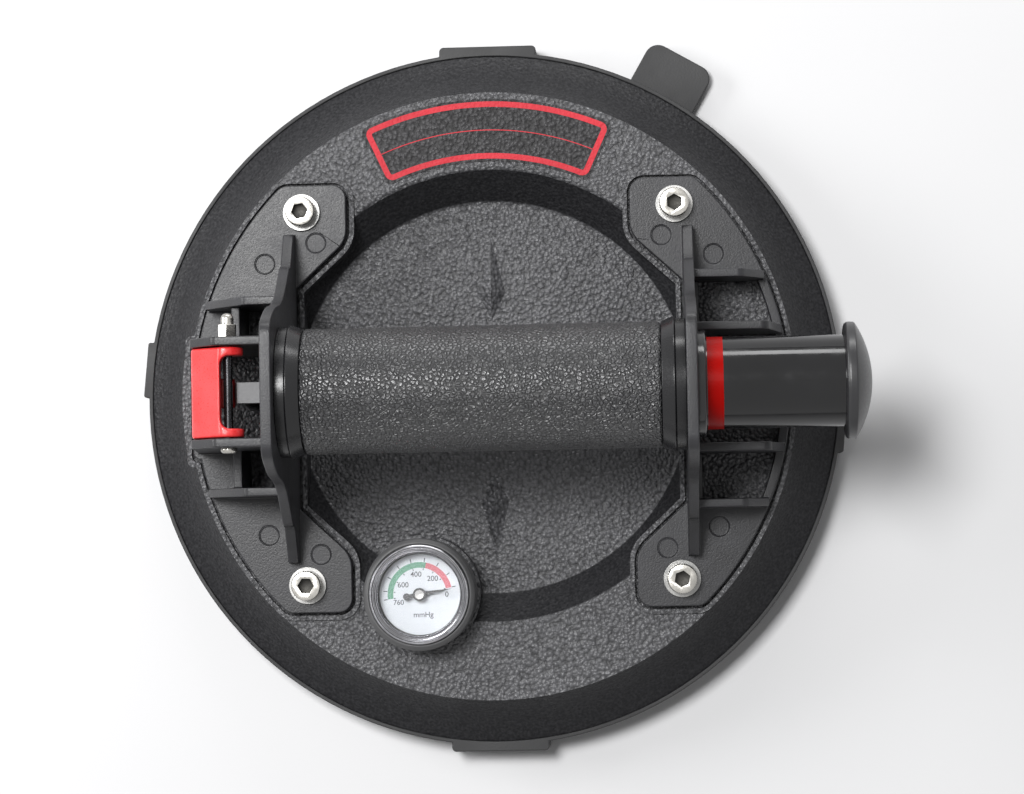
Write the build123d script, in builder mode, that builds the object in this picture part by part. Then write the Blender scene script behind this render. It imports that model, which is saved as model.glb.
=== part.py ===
from build123d import *
import math
import os

# Glass suction lifter with a hand pump in its handle.
# Z is up and Z = 0 is the glass. The cup's axis is Z and the handle lies along X,
# with the pump plunger at +X and the release lever at -X. Sizes are in millimetres.

# Fits
face_gap = 0.3          # between faces of two bodies that move past each other
slip = 0.05             # radial, between coaxial pieces that are pushed together
running = 0.1           # radial, between a sliding piece and its bore

# Rubber cup
cup_radius = 100.0
cup_lip_width = 12.0
cup_hollow_depth = 4.5
cup_crown = 0.6         # how much deeper the hollow is at the middle
cup_web = 3.5
cup_wrap = 1.2          # rubber wall round the base plate's edge
cup_wrap_height = 2.8
locating_tab_width = 28.0   # of the two at +Y and -Y
locating_tab_reach = 1.7
side_tab_width = 16.0
side_tab_reach = 1.3
side_tab_angle = 174.3      # and opposite it
peel_tab_width = 20.5
peel_tab_reach = 13.5
peel_tab_angle = 60.0
peel_tab_corner = 4.0
tab_lift = 0.6          # the tabs' underside is this far off the glass
peel_tab_thickness = 3.0

# Backing plate
backing_radius = cup_radius - 14.0
backing_thickness = 2.5

# Base plate
plate_wall = 3.0
floor_thickness = 3.5
recess_depth = 10.0
recess_rim_radius = cup_radius - 35.3
recess_floor_radius = recess_rim_radius - 8.7
recess_edge_round = 1.5
fold_radius = cup_radius - 13.5
fold_round = 1.2
band_sag = 0.9          # hollow of the sloping outer band
plate_edge_height = 2.5
plate_edge_width = 3.5
pocket_depth = 1.2
pocket_gap = 0.8
lip_width = 1.3
lip_height = 0.8
tongue_radius = fold_radius + 1.8
tongue_width = 36.0
floor_rib_length = 24.0
floor_rib_width = 8.0
floor_rib_height = 2.4
floor_rib_center = 34.0

# Label
label_angle = 50.4
label_inner = recess_rim_radius + 2.1
label_outer = fold_radius - 1.9
label_thickness = 0.3
label_corner = 1.5

# Screws that hold the brackets down
foot_arc_radius = fold_radius - 2.0
screw_edge = 9.547          # from a screw's axis to the feet's outer arc
screw_x = (foot_arc_radius - screw_edge) / math.sqrt(2)
screw_y = screw_x
screw_radius = 2.5
screw_length = 16.0
screw_head_radius = 4.25
screw_head_height = 5.0
screw_key = 4.0
screw_key_depth = 2.5
screw_clearance = 0.25
washer_radius = 5.3
washer_thickness = 1.0
nut_across_flats = 8.0
nut_height = 4.5
boss_wall = 3.0

# Brackets
upright_inner = screw_x + 2.0
upright_thickness = 3.0
upright_arch_radius = 23.0
arch_top_share = 0.63       # half the level top's width, as a share of the arch radius
arch_crown = 0.4            # rise of the level top's middle
arch_shoulder_run = 0.84    # shares of the arch radius, sideways and above the handle's axis
arch_shoulder_height = 0.80
arch_flank_height = 0.26
upright_end_y = screw_y - 6.5
upright_end_height = 4.2    # above the foot
flare_upper_run = 0.16      # shares of the flare's width and height
flare_upper_height = 0.70
flare_lower_run = 0.57
flare_lower_height = 0.27
foot_thickness = 4.0
foot_half_length = screw_y + 7.8
foot_inner_x = screw_x - 12.6
foot_corner = 4.0
ear_corner_y = screw_y - 8.2
ear_corner_round = 8.0
ear_waist_y = screw_y - 21.7
foot_rim = 2.6
foot_rim_height = 1.5
rib_thickness = 2.4
rib_level_height = 24.0     # above the foot
rib_toe = 1.6               # the rest of these too
inner_gusset_y = 16.7
inner_gusset_reach = 20.0
outer_gusset_y = 32.0
outer_gusset_height = 15.0
outer_gusset_reach = 13.3
outer_gusset_toe = 5.0
side_rib_y = 26.5
side_rib_reach = 9.4
side_rib_toe = 7.8
mark_radius = 2.75
mark_depth = 0.3
mark_inner = (screw_x - 3.9, screw_y - 8.7)
mark_outer = (screw_x + 10.8, screw_y - 14.4)

# Lever bay of the valve-end bracket
arm_y = 13.7
arm_thickness = 2.4
arm_level_reach = 14.0
arm_knee_reach = 21.3
arm_knee_drop = 9.0
arm_toe_x = foot_arc_radius - 1.0
arm_round = 2.5
bay_foot_wall = 1.8
bay_toe_wall = 1.5
cross_web_x = upright_inner + 15.2
cross_web_height = 17.0

# Handle
handle_height = 68.0
arm_height = handle_height + 12.0
cylinder_radius = 15.0
cylinder_bore = 13.5
cylinder_half_length = upright_inner + upright_thickness
grip_radius = 17.05
grip_half_length = upright_inner - 6.6
grip_chamfer = 0.7
collar_radius = 18.3
collar_neck_radius = 17.8
collar_neck_length = 2.9
collar_rim_length = 0.5

# Pump
plunger_radius = 12.4
plunger_bore = 10.0
plunger_outer_end = cylinder_half_length + 39.5
gland_flange_radius = 14.5
gland_flange_length = 2.3
gland_shank_length = 8.0
wiper_length = 2.1
wiper_offset = 2.8
wiper_depth = 0.45
band_length = 4.3
band_depth = 0.7
band_proud = 0.1
knob_radius = 15.8
knob_length = 7.5
knob_rim_length = 1.6
knob_edge_round = 1.2
knob_spigot = 7.5
piston_radius = 13.2
piston_length = 9.0
piston_spigot = 7.0
piston_pilot_radius = 8.5
piston_pilot_length = 4.0
seal_groove_offset = 2.5
seal_groove_length = 4.0
seal_groove_radius = 11.0
spring_radius = 10.2
spring_wire = 0.8
spring_turns = 8

# Valves
valve_body_length = 22.0
guide_depth = 5.5
guide_wall = 1.5
stem_width = 5.6
stem_height = 7.0
stem_reach = 9.0
stem_rod_radius = 2.0
stem_tab_inside = 3.5
stem_head_radius = 3.0
stem_head_length = 1.0
stem_seal_radius = 4.6
stem_seal_thickness = 1.2
chamber_radius = 6.0
check_seat_offset = 5.5
check_seat_thickness = 3.0
check_port_radius = 2.5
check_disc_radius = 4.2
check_disc_thickness = 1.2
check_stem_radius = 1.2
check_stem_length = 5.2
retainer_offset = 3.3
retainer_thickness = 1.5
retainer_hole_radius = 1.0
retainer_hole_circle = 3.8
stem_spring_radius = 2.4
stem_spring_wire = 0.2
stem_spring_turns = 2.5
check_spring_radius = 2.2
check_spring_wire = 0.15
check_spring_turns = 3.5

# Air path
air_bore = 1.4
air_port_drop = 9.5         # below the handle's axis
spigot_radius = 2.4
spigot_length = 3.4
elbow_radius = 3.5
elbow_reach = 6.5
elbow_bend = 4.5
elbow_drop = 6.5
barb_radius = 2.3
barb_share = 0.29           # of the hose's length, at each end of it
hose_radius = 3.5
nipple_across_flats = 9.0
nipple_hex_height = 5.0
nipple_shank_radius = 3.0
cup_port_radius = 2.5
filter_radius = 4.4
filter_thickness = 1.5

# Release lever
pivot_reach = 10.4          # outboard of the upright
pivot_drop = 5.0            # below the arms' top
bolt_radius = 1.25
bolt_head_radius = 2.25
bolt_head_height = 1.5
acorn_across_flats = 4.6
acorn_hex_height = 3.4
acorn_dome_height = 3.1
acorn_dome_radius = 1.75
paddle_thickness = 3.0
paddle_top_reach = 1.8      # outboard of the pivot, as the next ones
paddle_knee_reach = 10.6
paddle_bottom_reach = 13.1
paddle_knee_drop = 4.0      # below the pivot
paddle_bottom_drop = 30.5
paddle_knee_round = 3.0
paddle_edge_round = 1.2
paddle_corner = 3.5
ear_thickness = 2.4
ear_radius = 4.2
ear_root_drop = 11.0
ear_notch_corner = 2.5
nose_radius = 3.3
nose_width = 8.0

# Gauge
gauge_from_foot = 19.6      # from the gauge's axis to the valve-end foot's inner edge
gauge_from_rim = 4.962      # from the gauge's axis to the circle of the recess's rim
gauge_seat_radius = 16.6
boot_radius = 15.75
boot_wall = 1.95
boot_floor = 2.0
boot_height = 12.4
case_radius = 13.4
case_wall = 0.5
case_height = 10.6
bezel_radius = 14.0
bezel_window = 11.0
bezel_skirt = 2.0
bezel_lip = 1.0
lens_thickness = 1.35
dial_thickness = 0.5
gauge_shank_radius = 4.0
gauge_bore = 1.2
gauge_block_radius = 4.5
gauge_block_height = 1.6
tube_radius = 11.5
tube_width = 1.4
tube_height = 3.0
tube_wall = 0.25
tube_sweep = 235.0
tube_lift = 0.5
movement_width = 11.0
movement_depth = 7.0
movement_plate = 0.6
movement_gap = 2.6
movement_pillar_radius = 0.8
arbor_radius = 0.5
gear_face = 0.8
gear_module = 0.3
pinion_teeth = 8
sector_full_teeth = 40      # if the sector went all the way round
sector_teeth = 6
tooth_width_share = 0.40    # of the pitch, at the pitch circle
needle_rest_angle = 9.5
needle_length = 9.3
needle_tail = 4.7
needle_root_width = 1.5
needle_thickness = 0.4
needle_lift = 1.2
needle_hub_radius = 1.86
needle_hub_height = 1.1

# Levels worked out from the sizes above
cup_top = cup_hollow_depth + cup_web
backing_top = cup_top + backing_thickness
floor_top = backing_top + floor_thickness
deck = floor_top + recess_depth
plate_radius = cup_radius - cup_wrap - slip
pocket_floor = deck - pocket_depth
foot_top = pocket_floor + foot_thickness
washer_top = foot_top + washer_thickness
upright_outer = upright_inner + upright_thickness
upright_end_top = foot_top + upright_end_height
rib_top = foot_top + rib_level_height
pivot_x = -(upright_outer + pivot_reach)
pivot_z = arm_height - pivot_drop
pump_end = upright_outer
valve_face = -upright_outer
valve_inner = valve_face + valve_body_length
chamber_start = valve_face + guide_depth + guide_wall
air_port_z = handle_height - air_port_drop
hose_x = valve_face - elbow_reach
hose_top = air_port_z - elbow_drop - slip
hose_bottom = pocket_floor + nipple_hex_height
barb_length = barb_share * (hose_top - hose_bottom)
shank_bottom = cup_top + face_gap
gauge_x = gauge_from_foot - foot_inner_x
gauge_y = -math.sqrt((recess_rim_radius - gauge_from_rim) ** 2 - gauge_x**2)

handle_axis = Axis((0, 0, handle_height), (1, 0, 0))
handle_plane = Plane(origin=(0, 0, handle_height), x_dir=(1, 0, 0), z_dir=(0, -1, 0))
gauge_axis = Axis((gauge_x, gauge_y, 0), (0, 0, 1))

os.makedirs("parts", exist_ok=True)


def ring_section(plane, *points):
    """Closed straight-sided outline on a plane, to be revolved about an axis in that plane."""
    with BuildSketch(plane) as section:
        with BuildLine():
            Polyline(*points, close=True)
        make_face()
    return section.sketch


def handle_section(*points):
    """Outline of a piece that is coaxial with the handle; points are (x, radius)."""
    return ring_section(handle_plane, *points)


def gauge_section(*points):
    """Outline of a piece that is coaxial with the gauge; points are (radius, z)."""
    return ring_section(Plane(origin=(gauge_x, gauge_y, 0), x_dir=(1, 0, 0), z_dir=(0, -1, 0)), *points)


def across_handle(x):
    """Plane square to the handle, centred on its axis; its x runs along +Y and its y along +Z."""
    return Plane(origin=(x, 0, handle_height), x_dir=(0, 1, 0), z_dir=(1, 0, 0))


def foot_outline(grow):
    """Outline of the pump-end bracket's foot with its two ears, grown outwards."""
    corner_x = math.sqrt(foot_arc_radius**2 - foot_half_length**2)
    with BuildSketch() as outline:
        with BuildLine():
            Polyline(
                (corner_x, -foot_half_length),
                (foot_inner_x, -foot_half_length),
                (foot_inner_x, -ear_corner_y),
                (upright_inner, -ear_waist_y),
                (upright_inner, ear_waist_y),
                (foot_inner_x, ear_corner_y),
                (foot_inner_x, foot_half_length),
                (corner_x, foot_half_length),
            )
            ThreePointArc(
                (corner_x, foot_half_length), (foot_arc_radius, 0), (corner_x, -foot_half_length)
            )
        make_face()
        ends = outline.vertices().filter_by(lambda v: abs(v.Y) > ear_corner_y + 1)
        fillet(ends, foot_corner)
        bends = outline.vertices().filter_by(lambda v: abs(abs(v.Y) - ear_corner_y) < 0.01)
        fillet(bends, ear_corner_round)
        if grow != 0:
            offset(amount=grow)
    return outline.sketch


def valve_foot_outline(grow):
    """Outline of the valve-end foot: the same foot turned round, with a toe under the lever bay."""
    toe_width = 2 * (arm_y + arm_thickness / 2 + bay_foot_wall + grow)
    toe_inner = upright_outer + foot_rim
    toe_length = arm_toe_x + bay_toe_wall + grow - toe_inner
    with BuildSketch() as outline:
        add(mirror(foot_outline(grow), about=Plane.YZ, mode=Mode.PRIVATE))
        with Locations((-(toe_inner + toe_length / 2), 0)):
            RectangleRounded(toe_length, toe_width, foot_corner / 2)
    return outline.sketch


def upright_outline(x):
    """Bell-shaped end view of a bracket's upright, nearly level on top and flaring to the feet."""
    run = upright_end_y - upright_arch_radius
    fall = handle_height - upright_end_top
    arch_top = handle_height + upright_arch_radius
    top_half = arch_top_share * upright_arch_radius
    with BuildSketch(Plane.YZ.offset(x)) as outline:
        with BuildLine():
            ThreePointArc((-top_half, arch_top - arch_crown), (0, arch_top), (top_half, arch_top - arch_crown))
            for side in (-1, 1):
                shoulder_y = arch_shoulder_run * upright_arch_radius
                upper_y = upright_arch_radius + flare_upper_run * run
                lower_y = upright_arch_radius + flare_lower_run * run
                Spline(
                    (side * top_half, arch_top - arch_crown),
                    (side * shoulder_y, handle_height + arch_shoulder_height * upright_arch_radius),
                    (side * upright_arch_radius, handle_height + arch_flank_height * upright_arch_radius),
                    (side * upper_y, upright_end_top + flare_upper_height * fall),
                    (side * lower_y, upright_end_top + flare_lower_height * fall),
                    (side * upright_end_y, upright_end_top),
                    tangents=((side, -2 * arch_crown / top_half), (side * 0.8, -0.6)),
                )
            Polyline(
                (upright_end_y, upright_end_top),
                (upright_end_y, pocket_floor),
                (-upright_end_y, pocket_floor),
                (-upright_end_y, upright_end_top),
            )
        make_face()
    return outline.sketch


def rib_outline(y, side, *profile):
    """Side view of a rib at a given y. The profile runs from the end of its level top down to its toe."""
    root_x = side * (upright_inner + upright_thickness / 2)
    top = profile[0][1]
    corners = [(side * x, z) for x, z in profile]
    toe_x = corners[-1][0]
    with BuildSketch(Plane.XZ.offset(-y)) as outline:
        with BuildLine():
            FilletPolyline((root_x, top), *corners, radius=arm_round)
            Polyline(corners[-1], (toe_x, pocket_floor), (root_x, pocket_floor), (root_x, top))
        make_face()
    return outline.sketch


def arc_reach(y):
    """How far out in x the foot's outer arc is at a given y."""
    return math.sqrt(foot_arc_radius**2 - y**2)


def coil(start, radius, wire, turns, length):
    """Open coil spring along +X on the handle's axis, whose ends lie between start and start + length."""
    rise = length - 2 * wire
    with BuildPart() as spring:
        with BuildLine() as path:
            Helix(
                pitch=rise / turns,
                height=rise,
                radius=radius,
                center=(start + wire, 0, handle_height),
                direction=(1, 0, 0),
            )
        with BuildSketch(Plane(origin=path.line @ 0, z_dir=path.line % 0)):
            Circle(wire)
        sweep(path=path.line, is_frenet=True)
    return spring.part


# Rubber cup: the flexible pad that seals on the glass. It wraps the base plate's edge.
lip_inner = cup_radius - cup_lip_width
with BuildPart() as rubber_cup:
    with BuildSketch(Plane.XZ):
        with BuildLine():
            Polyline(
                (0, cup_hollow_depth + cup_crown),
                (lip_inner - cup_hollow_depth, cup_hollow_depth),
                (lip_inner, 0),
                (cup_radius - 1, 0),
                (cup_radius, 1),
                (cup_radius, cup_top + cup_wrap_height),
                (cup_radius - cup_wrap, cup_top + cup_wrap_height),
                (cup_radius - cup_wrap, cup_top),
                (0, cup_top),
                close=True,
            )
        make_face()
    revolve(axis=Axis.Z)
    with BuildSketch(Plane.XY.offset(tab_lift)):
        with PolarLocations(cup_radius, 2, start_angle=90):
            RectangleRounded(2 * locating_tab_reach, locating_tab_width, side_tab_reach)
        with PolarLocations(cup_radius, 2, start_angle=side_tab_angle):
            RectangleRounded(2 * side_tab_reach, side_tab_width, side_tab_reach / 2)
        Circle(cup_radius - cup_wrap / 2, mode=Mode.SUBTRACT)
    extrude(amount=cup_top + cup_wrap_height - tab_lift)
    with BuildSketch(Plane.XY.offset(tab_lift)):
        with PolarLocations(cup_radius, 1, start_angle=peel_tab_angle):
            RectangleRounded(2 * peel_tab_reach, peel_tab_width, peel_tab_corner)
        Circle(lip_inner, mode=Mode.SUBTRACT)
    extrude(amount=peel_tab_thickness)
    for port_x, port_y in ((hose_x, 0), (gauge_x, gauge_y)):
        with Locations((port_x, port_y, cup_top)):
            Hole(cup_port_radius)
    with BuildSketch(Plane.XY.offset(cup_hollow_depth)):
        with Locations((hose_x, 0)):
            Circle(filter_radius + slip)
    extrude(amount=filter_thickness + cup_crown, mode=Mode.SUBTRACT)
rubber_cup.part.label = "rubber_cup"
export_step(rubber_cup.part, "parts/rubber_cup.step")

# Port filter: a sintered disc that keeps dust out of the pump.
with BuildPart() as port_filter:
    with Locations((hose_x, 0, cup_hollow_depth + cup_crown)):
        Cylinder(filter_radius, filter_thickness, align=(Align.CENTER, Align.CENTER, Align.MIN))
port_filter.part.label = "port_filter"
export_step(port_filter.part, "parts/port_filter.step")

# Backing plate: the steel disc bonded to the rubber.
with BuildPart() as backing_plate:
    with BuildSketch(Plane.XY.offset(cup_top)):
        Circle(backing_radius)
        with GridLocations(2 * screw_x, 2 * screw_y, 2, 2):
            Circle(screw_radius + screw_clearance, mode=Mode.SUBTRACT)
        with Locations((hose_x, 0)):
            Circle(nipple_shank_radius + slip, mode=Mode.SUBTRACT)
        with Locations((gauge_x, gauge_y)):
            Circle(gauge_shank_radius + slip, mode=Mode.SUBTRACT)
    extrude(amount=backing_thickness)
backing_plate.part.label = "backing_plate"
export_step(backing_plate.part, "parts/backing_plate.step")

# Weld nuts: four hexagon nuts on the backing plate, one below each bracket screw.
with BuildPart() as weld_nuts:
    with BuildSketch(Plane.XY.offset(backing_top)):
        with GridLocations(2 * screw_x, 2 * screw_y, 2, 2):
            RegularPolygon(nut_across_flats / 2, 6, major_radius=False)
            Circle(screw_radius + slip, mode=Mode.SUBTRACT)
    extrude(amount=nut_height)
weld_nuts.part.label = "weld_nuts"
export_step(weld_nuts.part, "parts/weld_nuts.step")

# Base plate: the moulded cover, with a sunk centre for the fingers, a flat deck,
# a hollow sloping band, and a raised seat with a pocket for each bracket's foot.
slope_run = (recess_rim_radius - recess_floor_radius) / recess_depth
under_wall = plate_wall * math.hypot(1, slope_run)
under_deck = deck - plate_wall
band_top = cup_top + plate_edge_height
with BuildPart() as base_plate:
    with BuildSketch(Plane.XZ) as shell:
        with BuildLine():
            FilletPolyline(
                (0, floor_top),
                (recess_floor_radius, floor_top),
                (recess_rim_radius, deck),
                (fold_radius, deck),
                radius=(recess_edge_round, recess_edge_round),
            )
            ThreePointArc(
                (fold_radius, deck),
                ((fold_radius + plate_radius) / 2 - band_sag, (deck + band_top) / 2 - band_sag),
                (plate_radius, band_top),
            )
            Polyline(
                (plate_radius, band_top),
                (plate_radius, cup_top),
                (plate_radius - plate_edge_width, cup_top),
                (fold_radius - plate_wall / 2, under_deck),
                (recess_floor_radius + (under_deck - floor_top) * slope_run + under_wall, under_deck),
                (recess_floor_radius + (backing_top - floor_top) * slope_run + under_wall, backing_top),
                (0, backing_top),
                (0, floor_top),
            )
        make_face()
        fold = shell.vertices().filter_by(lambda v: abs(v.X - fold_radius) < 0.01 and v.Z > under_deck + 1)
        fillet(fold, fold_round)
    revolve(axis=Axis.Z)

    for outline in (foot_outline, valve_foot_outline):
        seat = outline(pocket_gap + lip_width)
        extrude(Plane.XY.offset(backing_top) * seat, amount=deck + lip_height - backing_top)
    with BuildSketch(Plane.XY.offset(band_top)):
        Circle(tongue_radius)
        with Locations((-tongue_radius, 0)):
            Rectangle(2 * (tongue_radius - fold_radius + plate_wall), tongue_width, mode=Mode.INTERSECT)
    extrude(amount=deck + lip_height - band_top)
    for outline in (foot_outline, valve_foot_outline):
        extrude(
            Plane.XY.offset(pocket_floor) * outline(pocket_gap),
            amount=recess_depth,
            mode=Mode.SUBTRACT,
        )
        extrude(
            Plane.XY.offset(backing_top) * outline(pocket_gap + lip_width - plate_wall),
            amount=pocket_floor - plate_wall - backing_top,
            mode=Mode.SUBTRACT,
        )

    # Raised seat for the gauge, cored from below
    with BuildSketch(Plane.XY.offset(backing_top)):
        with Locations((gauge_x, gauge_y)):
            Circle(gauge_seat_radius)
    extrude(amount=deck - backing_top)
    with BuildSketch(Plane.XY.offset(backing_top)):
        with Locations((gauge_x, gauge_y)):
            Circle(gauge_seat_radius - plate_wall)
            Circle(gauge_shank_radius + plate_wall, mode=Mode.SUBTRACT)
    extrude(amount=under_deck - backing_top, mode=Mode.SUBTRACT)

    # Bosses over the weld nuts and round the air nipple
    with BuildSketch(Plane.XY.offset(backing_top)):
        with GridLocations(2 * screw_x, 2 * screw_y, 2, 2):
            Circle(nut_across_flats / math.sqrt(3) + face_gap + boss_wall)
        with Locations((hose_x, 0)):
            Circle(nipple_shank_radius + boss_wall)
    extrude(amount=pocket_floor - plate_wall / 2 - backing_top)
    with BuildSketch(Plane.XY.offset(backing_top)):
        with GridLocations(2 * screw_x, 2 * screw_y, 2, 2):
            Circle(nut_across_flats / math.sqrt(3) + face_gap)
    extrude(amount=nut_height + face_gap, mode=Mode.SUBTRACT)
    with GridLocations(2 * screw_x, 2 * screw_y, 2, 2):
        Hole(screw_radius + screw_clearance)
    with Locations((hose_x, 0, deck)):
        Hole(nipple_shank_radius + slip)
    with Locations((gauge_x, gauge_y, deck)):
        Hole(gauge_shank_radius + slip)

    # Two plain pointed ribs on the sunk floor, one each side of the grip
    for side in (-1, 1):
        near = side * (floor_rib_center - floor_rib_length / 2)
        far = side * (floor_rib_center + floor_rib_length / 2)
        belly = near + side * floor_rib_length / 3
        with BuildSketch(Plane.XY.offset(floor_top)) as kite:
            with BuildLine():
                Polyline(
                    (0, near), (floor_rib_width / 2, belly), (0, far), (-floor_rib_width / 2, belly), close=True
                )
            make_face()
        loft(sections=[kite.sketch, Vertex(0, belly, floor_top + floor_rib_height)])
base_plate.part.label = "base_plate"
export_step(base_plate.part, "parts/base_plate.step")

# Label plate: a thin curved plate on the deck, left blank.
with BuildPart() as label_plate:
    with BuildSketch(Plane.XY.offset(deck)) as label:
        with BuildLine():
            CenterArc((0, 0), label_outer, 90 - label_angle / 2, label_angle)
            CenterArc((0, 0), label_inner, 90 - label_angle / 2, label_angle)
            for angle in (90 - label_angle / 2, 90 + label_angle / 2):
                along = Vector(1, 0).rotate(Axis.Z, angle)
                Line(along * label_inner, along * label_outer)
        make_face()
        fillet(label.vertices(), label_corner)
    extrude(amount=label_thickness)
label_plate.part.label = "label_plate"
export_step(label_plate.part, "parts/label_plate.step")

# Pump-end bracket: foot, bell-shaped upright and four gussets between open pockets.
gusset_edges = (
    -outer_gusset_y + rib_thickness / 2,
    -inner_gusset_y - rib_thickness / 2,
    -inner_gusset_y + rib_thickness / 2,
    inner_gusset_y - rib_thickness / 2,
    inner_gusset_y + rib_thickness / 2,
    outer_gusset_y - rib_thickness / 2,
)
window_inner = upright_outer + foot_rim / 2
window_outer = foot_arc_radius - foot_rim
with BuildPart() as pump_end_bracket:
    extrude(Plane.XY.offset(pocket_floor) * foot_outline(0), amount=foot_thickness)
    with BuildSketch(Plane.XY.offset(foot_top)):
        Circle(foot_arc_radius)
        Circle(foot_arc_radius - foot_rim, mode=Mode.SUBTRACT)
        with Locations((foot_arc_radius, 0)):
            Rectangle(foot_arc_radius, 2 * outer_gusset_y, mode=Mode.INTERSECT)
    extrude(amount=foot_rim_height)
    with BuildSketch(Plane.XY.offset(pocket_floor)):
        for low, high in zip(gusset_edges[0::2], gusset_edges[1::2]):
            with Locations(((window_inner + window_outer) / 2, (low + high) / 2)):
                Rectangle(window_outer - window_inner, high - low)
        Circle(window_outer, mode=Mode.INTERSECT)
    extrude(amount=foot_thickness, mode=Mode.SUBTRACT)
    extrude(upright_outline(upright_inner), amount=upright_thickness)
    for y in (-inner_gusset_y, inner_gusset_y):
        gusset = rib_outline(
            y,
            1,
            (upright_outer + inner_gusset_reach, rib_top),
            (arc_reach(inner_gusset_y + rib_thickness / 2), foot_top + rib_toe),
        )
        extrude(gusset, amount=rib_thickness / 2, both=True)
    for y in (-outer_gusset_y, outer_gusset_y):
        gusset = rib_outline(
            y,
            1,
            (upright_outer + outer_gusset_reach, foot_top + outer_gusset_height),
            (arc_reach(outer_gusset_y + rib_thickness / 2), foot_top + outer_gusset_toe),
        )
        extrude(gusset, amount=rib_thickness / 2, both=True)
    with BuildSketch(across_handle(upright_inner)):
        Circle(cylinder_radius + slip)
    extrude(amount=upright_thickness, mode=Mode.SUBTRACT)
    with Locations((screw_x, screw_y, foot_top), (screw_x, -screw_y, foot_top)):
        Hole(screw_radius + screw_clearance, depth=foot_thickness)
    with BuildSketch(Plane.XY.offset(foot_top)):
        for side in (-1, 1):
            with Locations((mark_inner[0], side * mark_inner[1]), (mark_outer[0], side * mark_outer[1])):
                Circle(mark_radius)
    extrude(amount=-mark_depth, mode=Mode.SUBTRACT)
pump_end_bracket.part.label = "pump_end_bracket"
export_step(pump_end_bracket.part, "parts/pump_end_bracket.step")

# Valve-end bracket: the same foot and upright turned round, with two tall arms
# that carry the release lever, a low rib beyond each arm and a web between them.
arm_outer_y = arm_y + arm_thickness / 2
with BuildPart() as valve_end_bracket:
    extrude(Plane.XY.offset(pocket_floor) * valve_foot_outline(0), amount=foot_thickness)
    with BuildSketch(Plane.XY.offset(pocket_floor)):
        bay_length = arm_toe_x - foot_rim - window_inner
        with Locations((-(window_inner + bay_length / 2), 0)):
            Rectangle(bay_length, 2 * arm_y - arm_thickness)
        opening_length = cross_web_x - rib_thickness / 2 - window_inner
        opening_width = side_rib_y - rib_thickness / 2 - arm_outer_y
        with GridLocations(0, 2 * arm_outer_y + opening_width, 1, 2):
            with Locations((-(window_inner + opening_length / 2), 0)):
                Rectangle(opening_length, opening_width)
    extrude(amount=foot_thickness, mode=Mode.SUBTRACT)
    extrude(upright_outline(-upright_inner), amount=-upright_thickness)
    for y in (-side_rib_y, side_rib_y):
        side_rib = rib_outline(
            y,
            -1,
            (upright_outer + side_rib_reach, rib_top),
            (arc_reach(side_rib_y + rib_thickness / 2), foot_top + side_rib_toe),
        )
        extrude(side_rib, amount=rib_thickness / 2, both=True)
    for y in (-arm_y, arm_y):
        arm = rib_outline(
            y,
            -1,
            (upright_outer + arm_level_reach, arm_height),
            (upright_outer + arm_knee_reach, arm_height - arm_knee_drop),
            (arm_toe_x, foot_top + rib_toe),
        )
        extrude(arm, amount=arm_thickness / 2, both=True)
    with BuildSketch(Plane.XY.offset(pocket_floor)):
        web_width = side_rib_y - arm_y
        with GridLocations(0, side_rib_y + arm_y, 1, 2):
            with Locations((-cross_web_x, 0)):
                Rectangle(rib_thickness, web_width)
    extrude(amount=foot_thickness + cross_web_height)
    with BuildSketch(across_handle(-upright_outer)):
        Circle(cylinder_radius + slip)
    extrude(amount=upright_thickness, mode=Mode.SUBTRACT)
    with BuildSketch(Plane.XZ.offset(-2 * arm_y)):
        with Locations((pivot_x, pivot_z)):
            Circle(bolt_radius + slip)
    extrude(amount=4 * arm_y, mode=Mode.SUBTRACT)
    with Locations((-screw_x, screw_y, foot_top), (-screw_x, -screw_y, foot_top)):
        Hole(screw_radius + screw_clearance, depth=foot_thickness)
    with BuildSketch(Plane.XY.offset(foot_top)):
        for side in (-1, 1):
            with Locations((-mark_inner[0], side * mark_inner[1]), (-mark_outer[0], side * mark_outer[1])):
                Circle(mark_radius)
    extrude(amount=-mark_depth, mode=Mode.SUBTRACT)
valve_end_bracket.part.label = "valve_end_bracket"
export_step(valve_end_bracket.part, "parts/valve_end_bracket.step")

# Washers and socket cap screws, four of each.
with BuildPart() as screw_washers:
    with BuildSketch(Plane.XY.offset(foot_top)):
        with GridLocations(2 * screw_x, 2 * screw_y, 2, 2):
            Circle(washer_radius)
            Circle(screw_radius + screw_clearance, mode=Mode.SUBTRACT)
    extrude(amount=washer_thickness)
screw_washers.part.label = "screw_washers"
export_step(screw_washers.part, "parts/screw_washers.step")

with BuildPart() as bracket_screws:
    with BuildSketch(Plane.XY.offset(washer_top)):
        with GridLocations(2 * screw_x, 2 * screw_y, 2, 2):
            Circle(screw_head_radius)
    extrude(amount=screw_head_height)
    chamfer(bracket_screws.faces().filter_by(Axis.Z).group_by(Axis.Z)[-1].edges(), 0.4)
    with BuildSketch(Plane.XY.offset(washer_top)):
        with GridLocations(2 * screw_x, 2 * screw_y, 2, 2):
            Circle(screw_radius)
    extrude(amount=-screw_length)
    with BuildSketch(Plane.XY.offset(washer_top + screw_head_height)):
        with GridLocations(2 * screw_x, 2 * screw_y, 2, 2):
            RegularPolygon(screw_key / 2, 6, major_radius=False)
    extrude(amount=-screw_key_depth, mode=Mode.SUBTRACT)
bracket_screws.part.label = "bracket_screws"
export_step(bracket_screws.part, "parts/bracket_screws.step")

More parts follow.
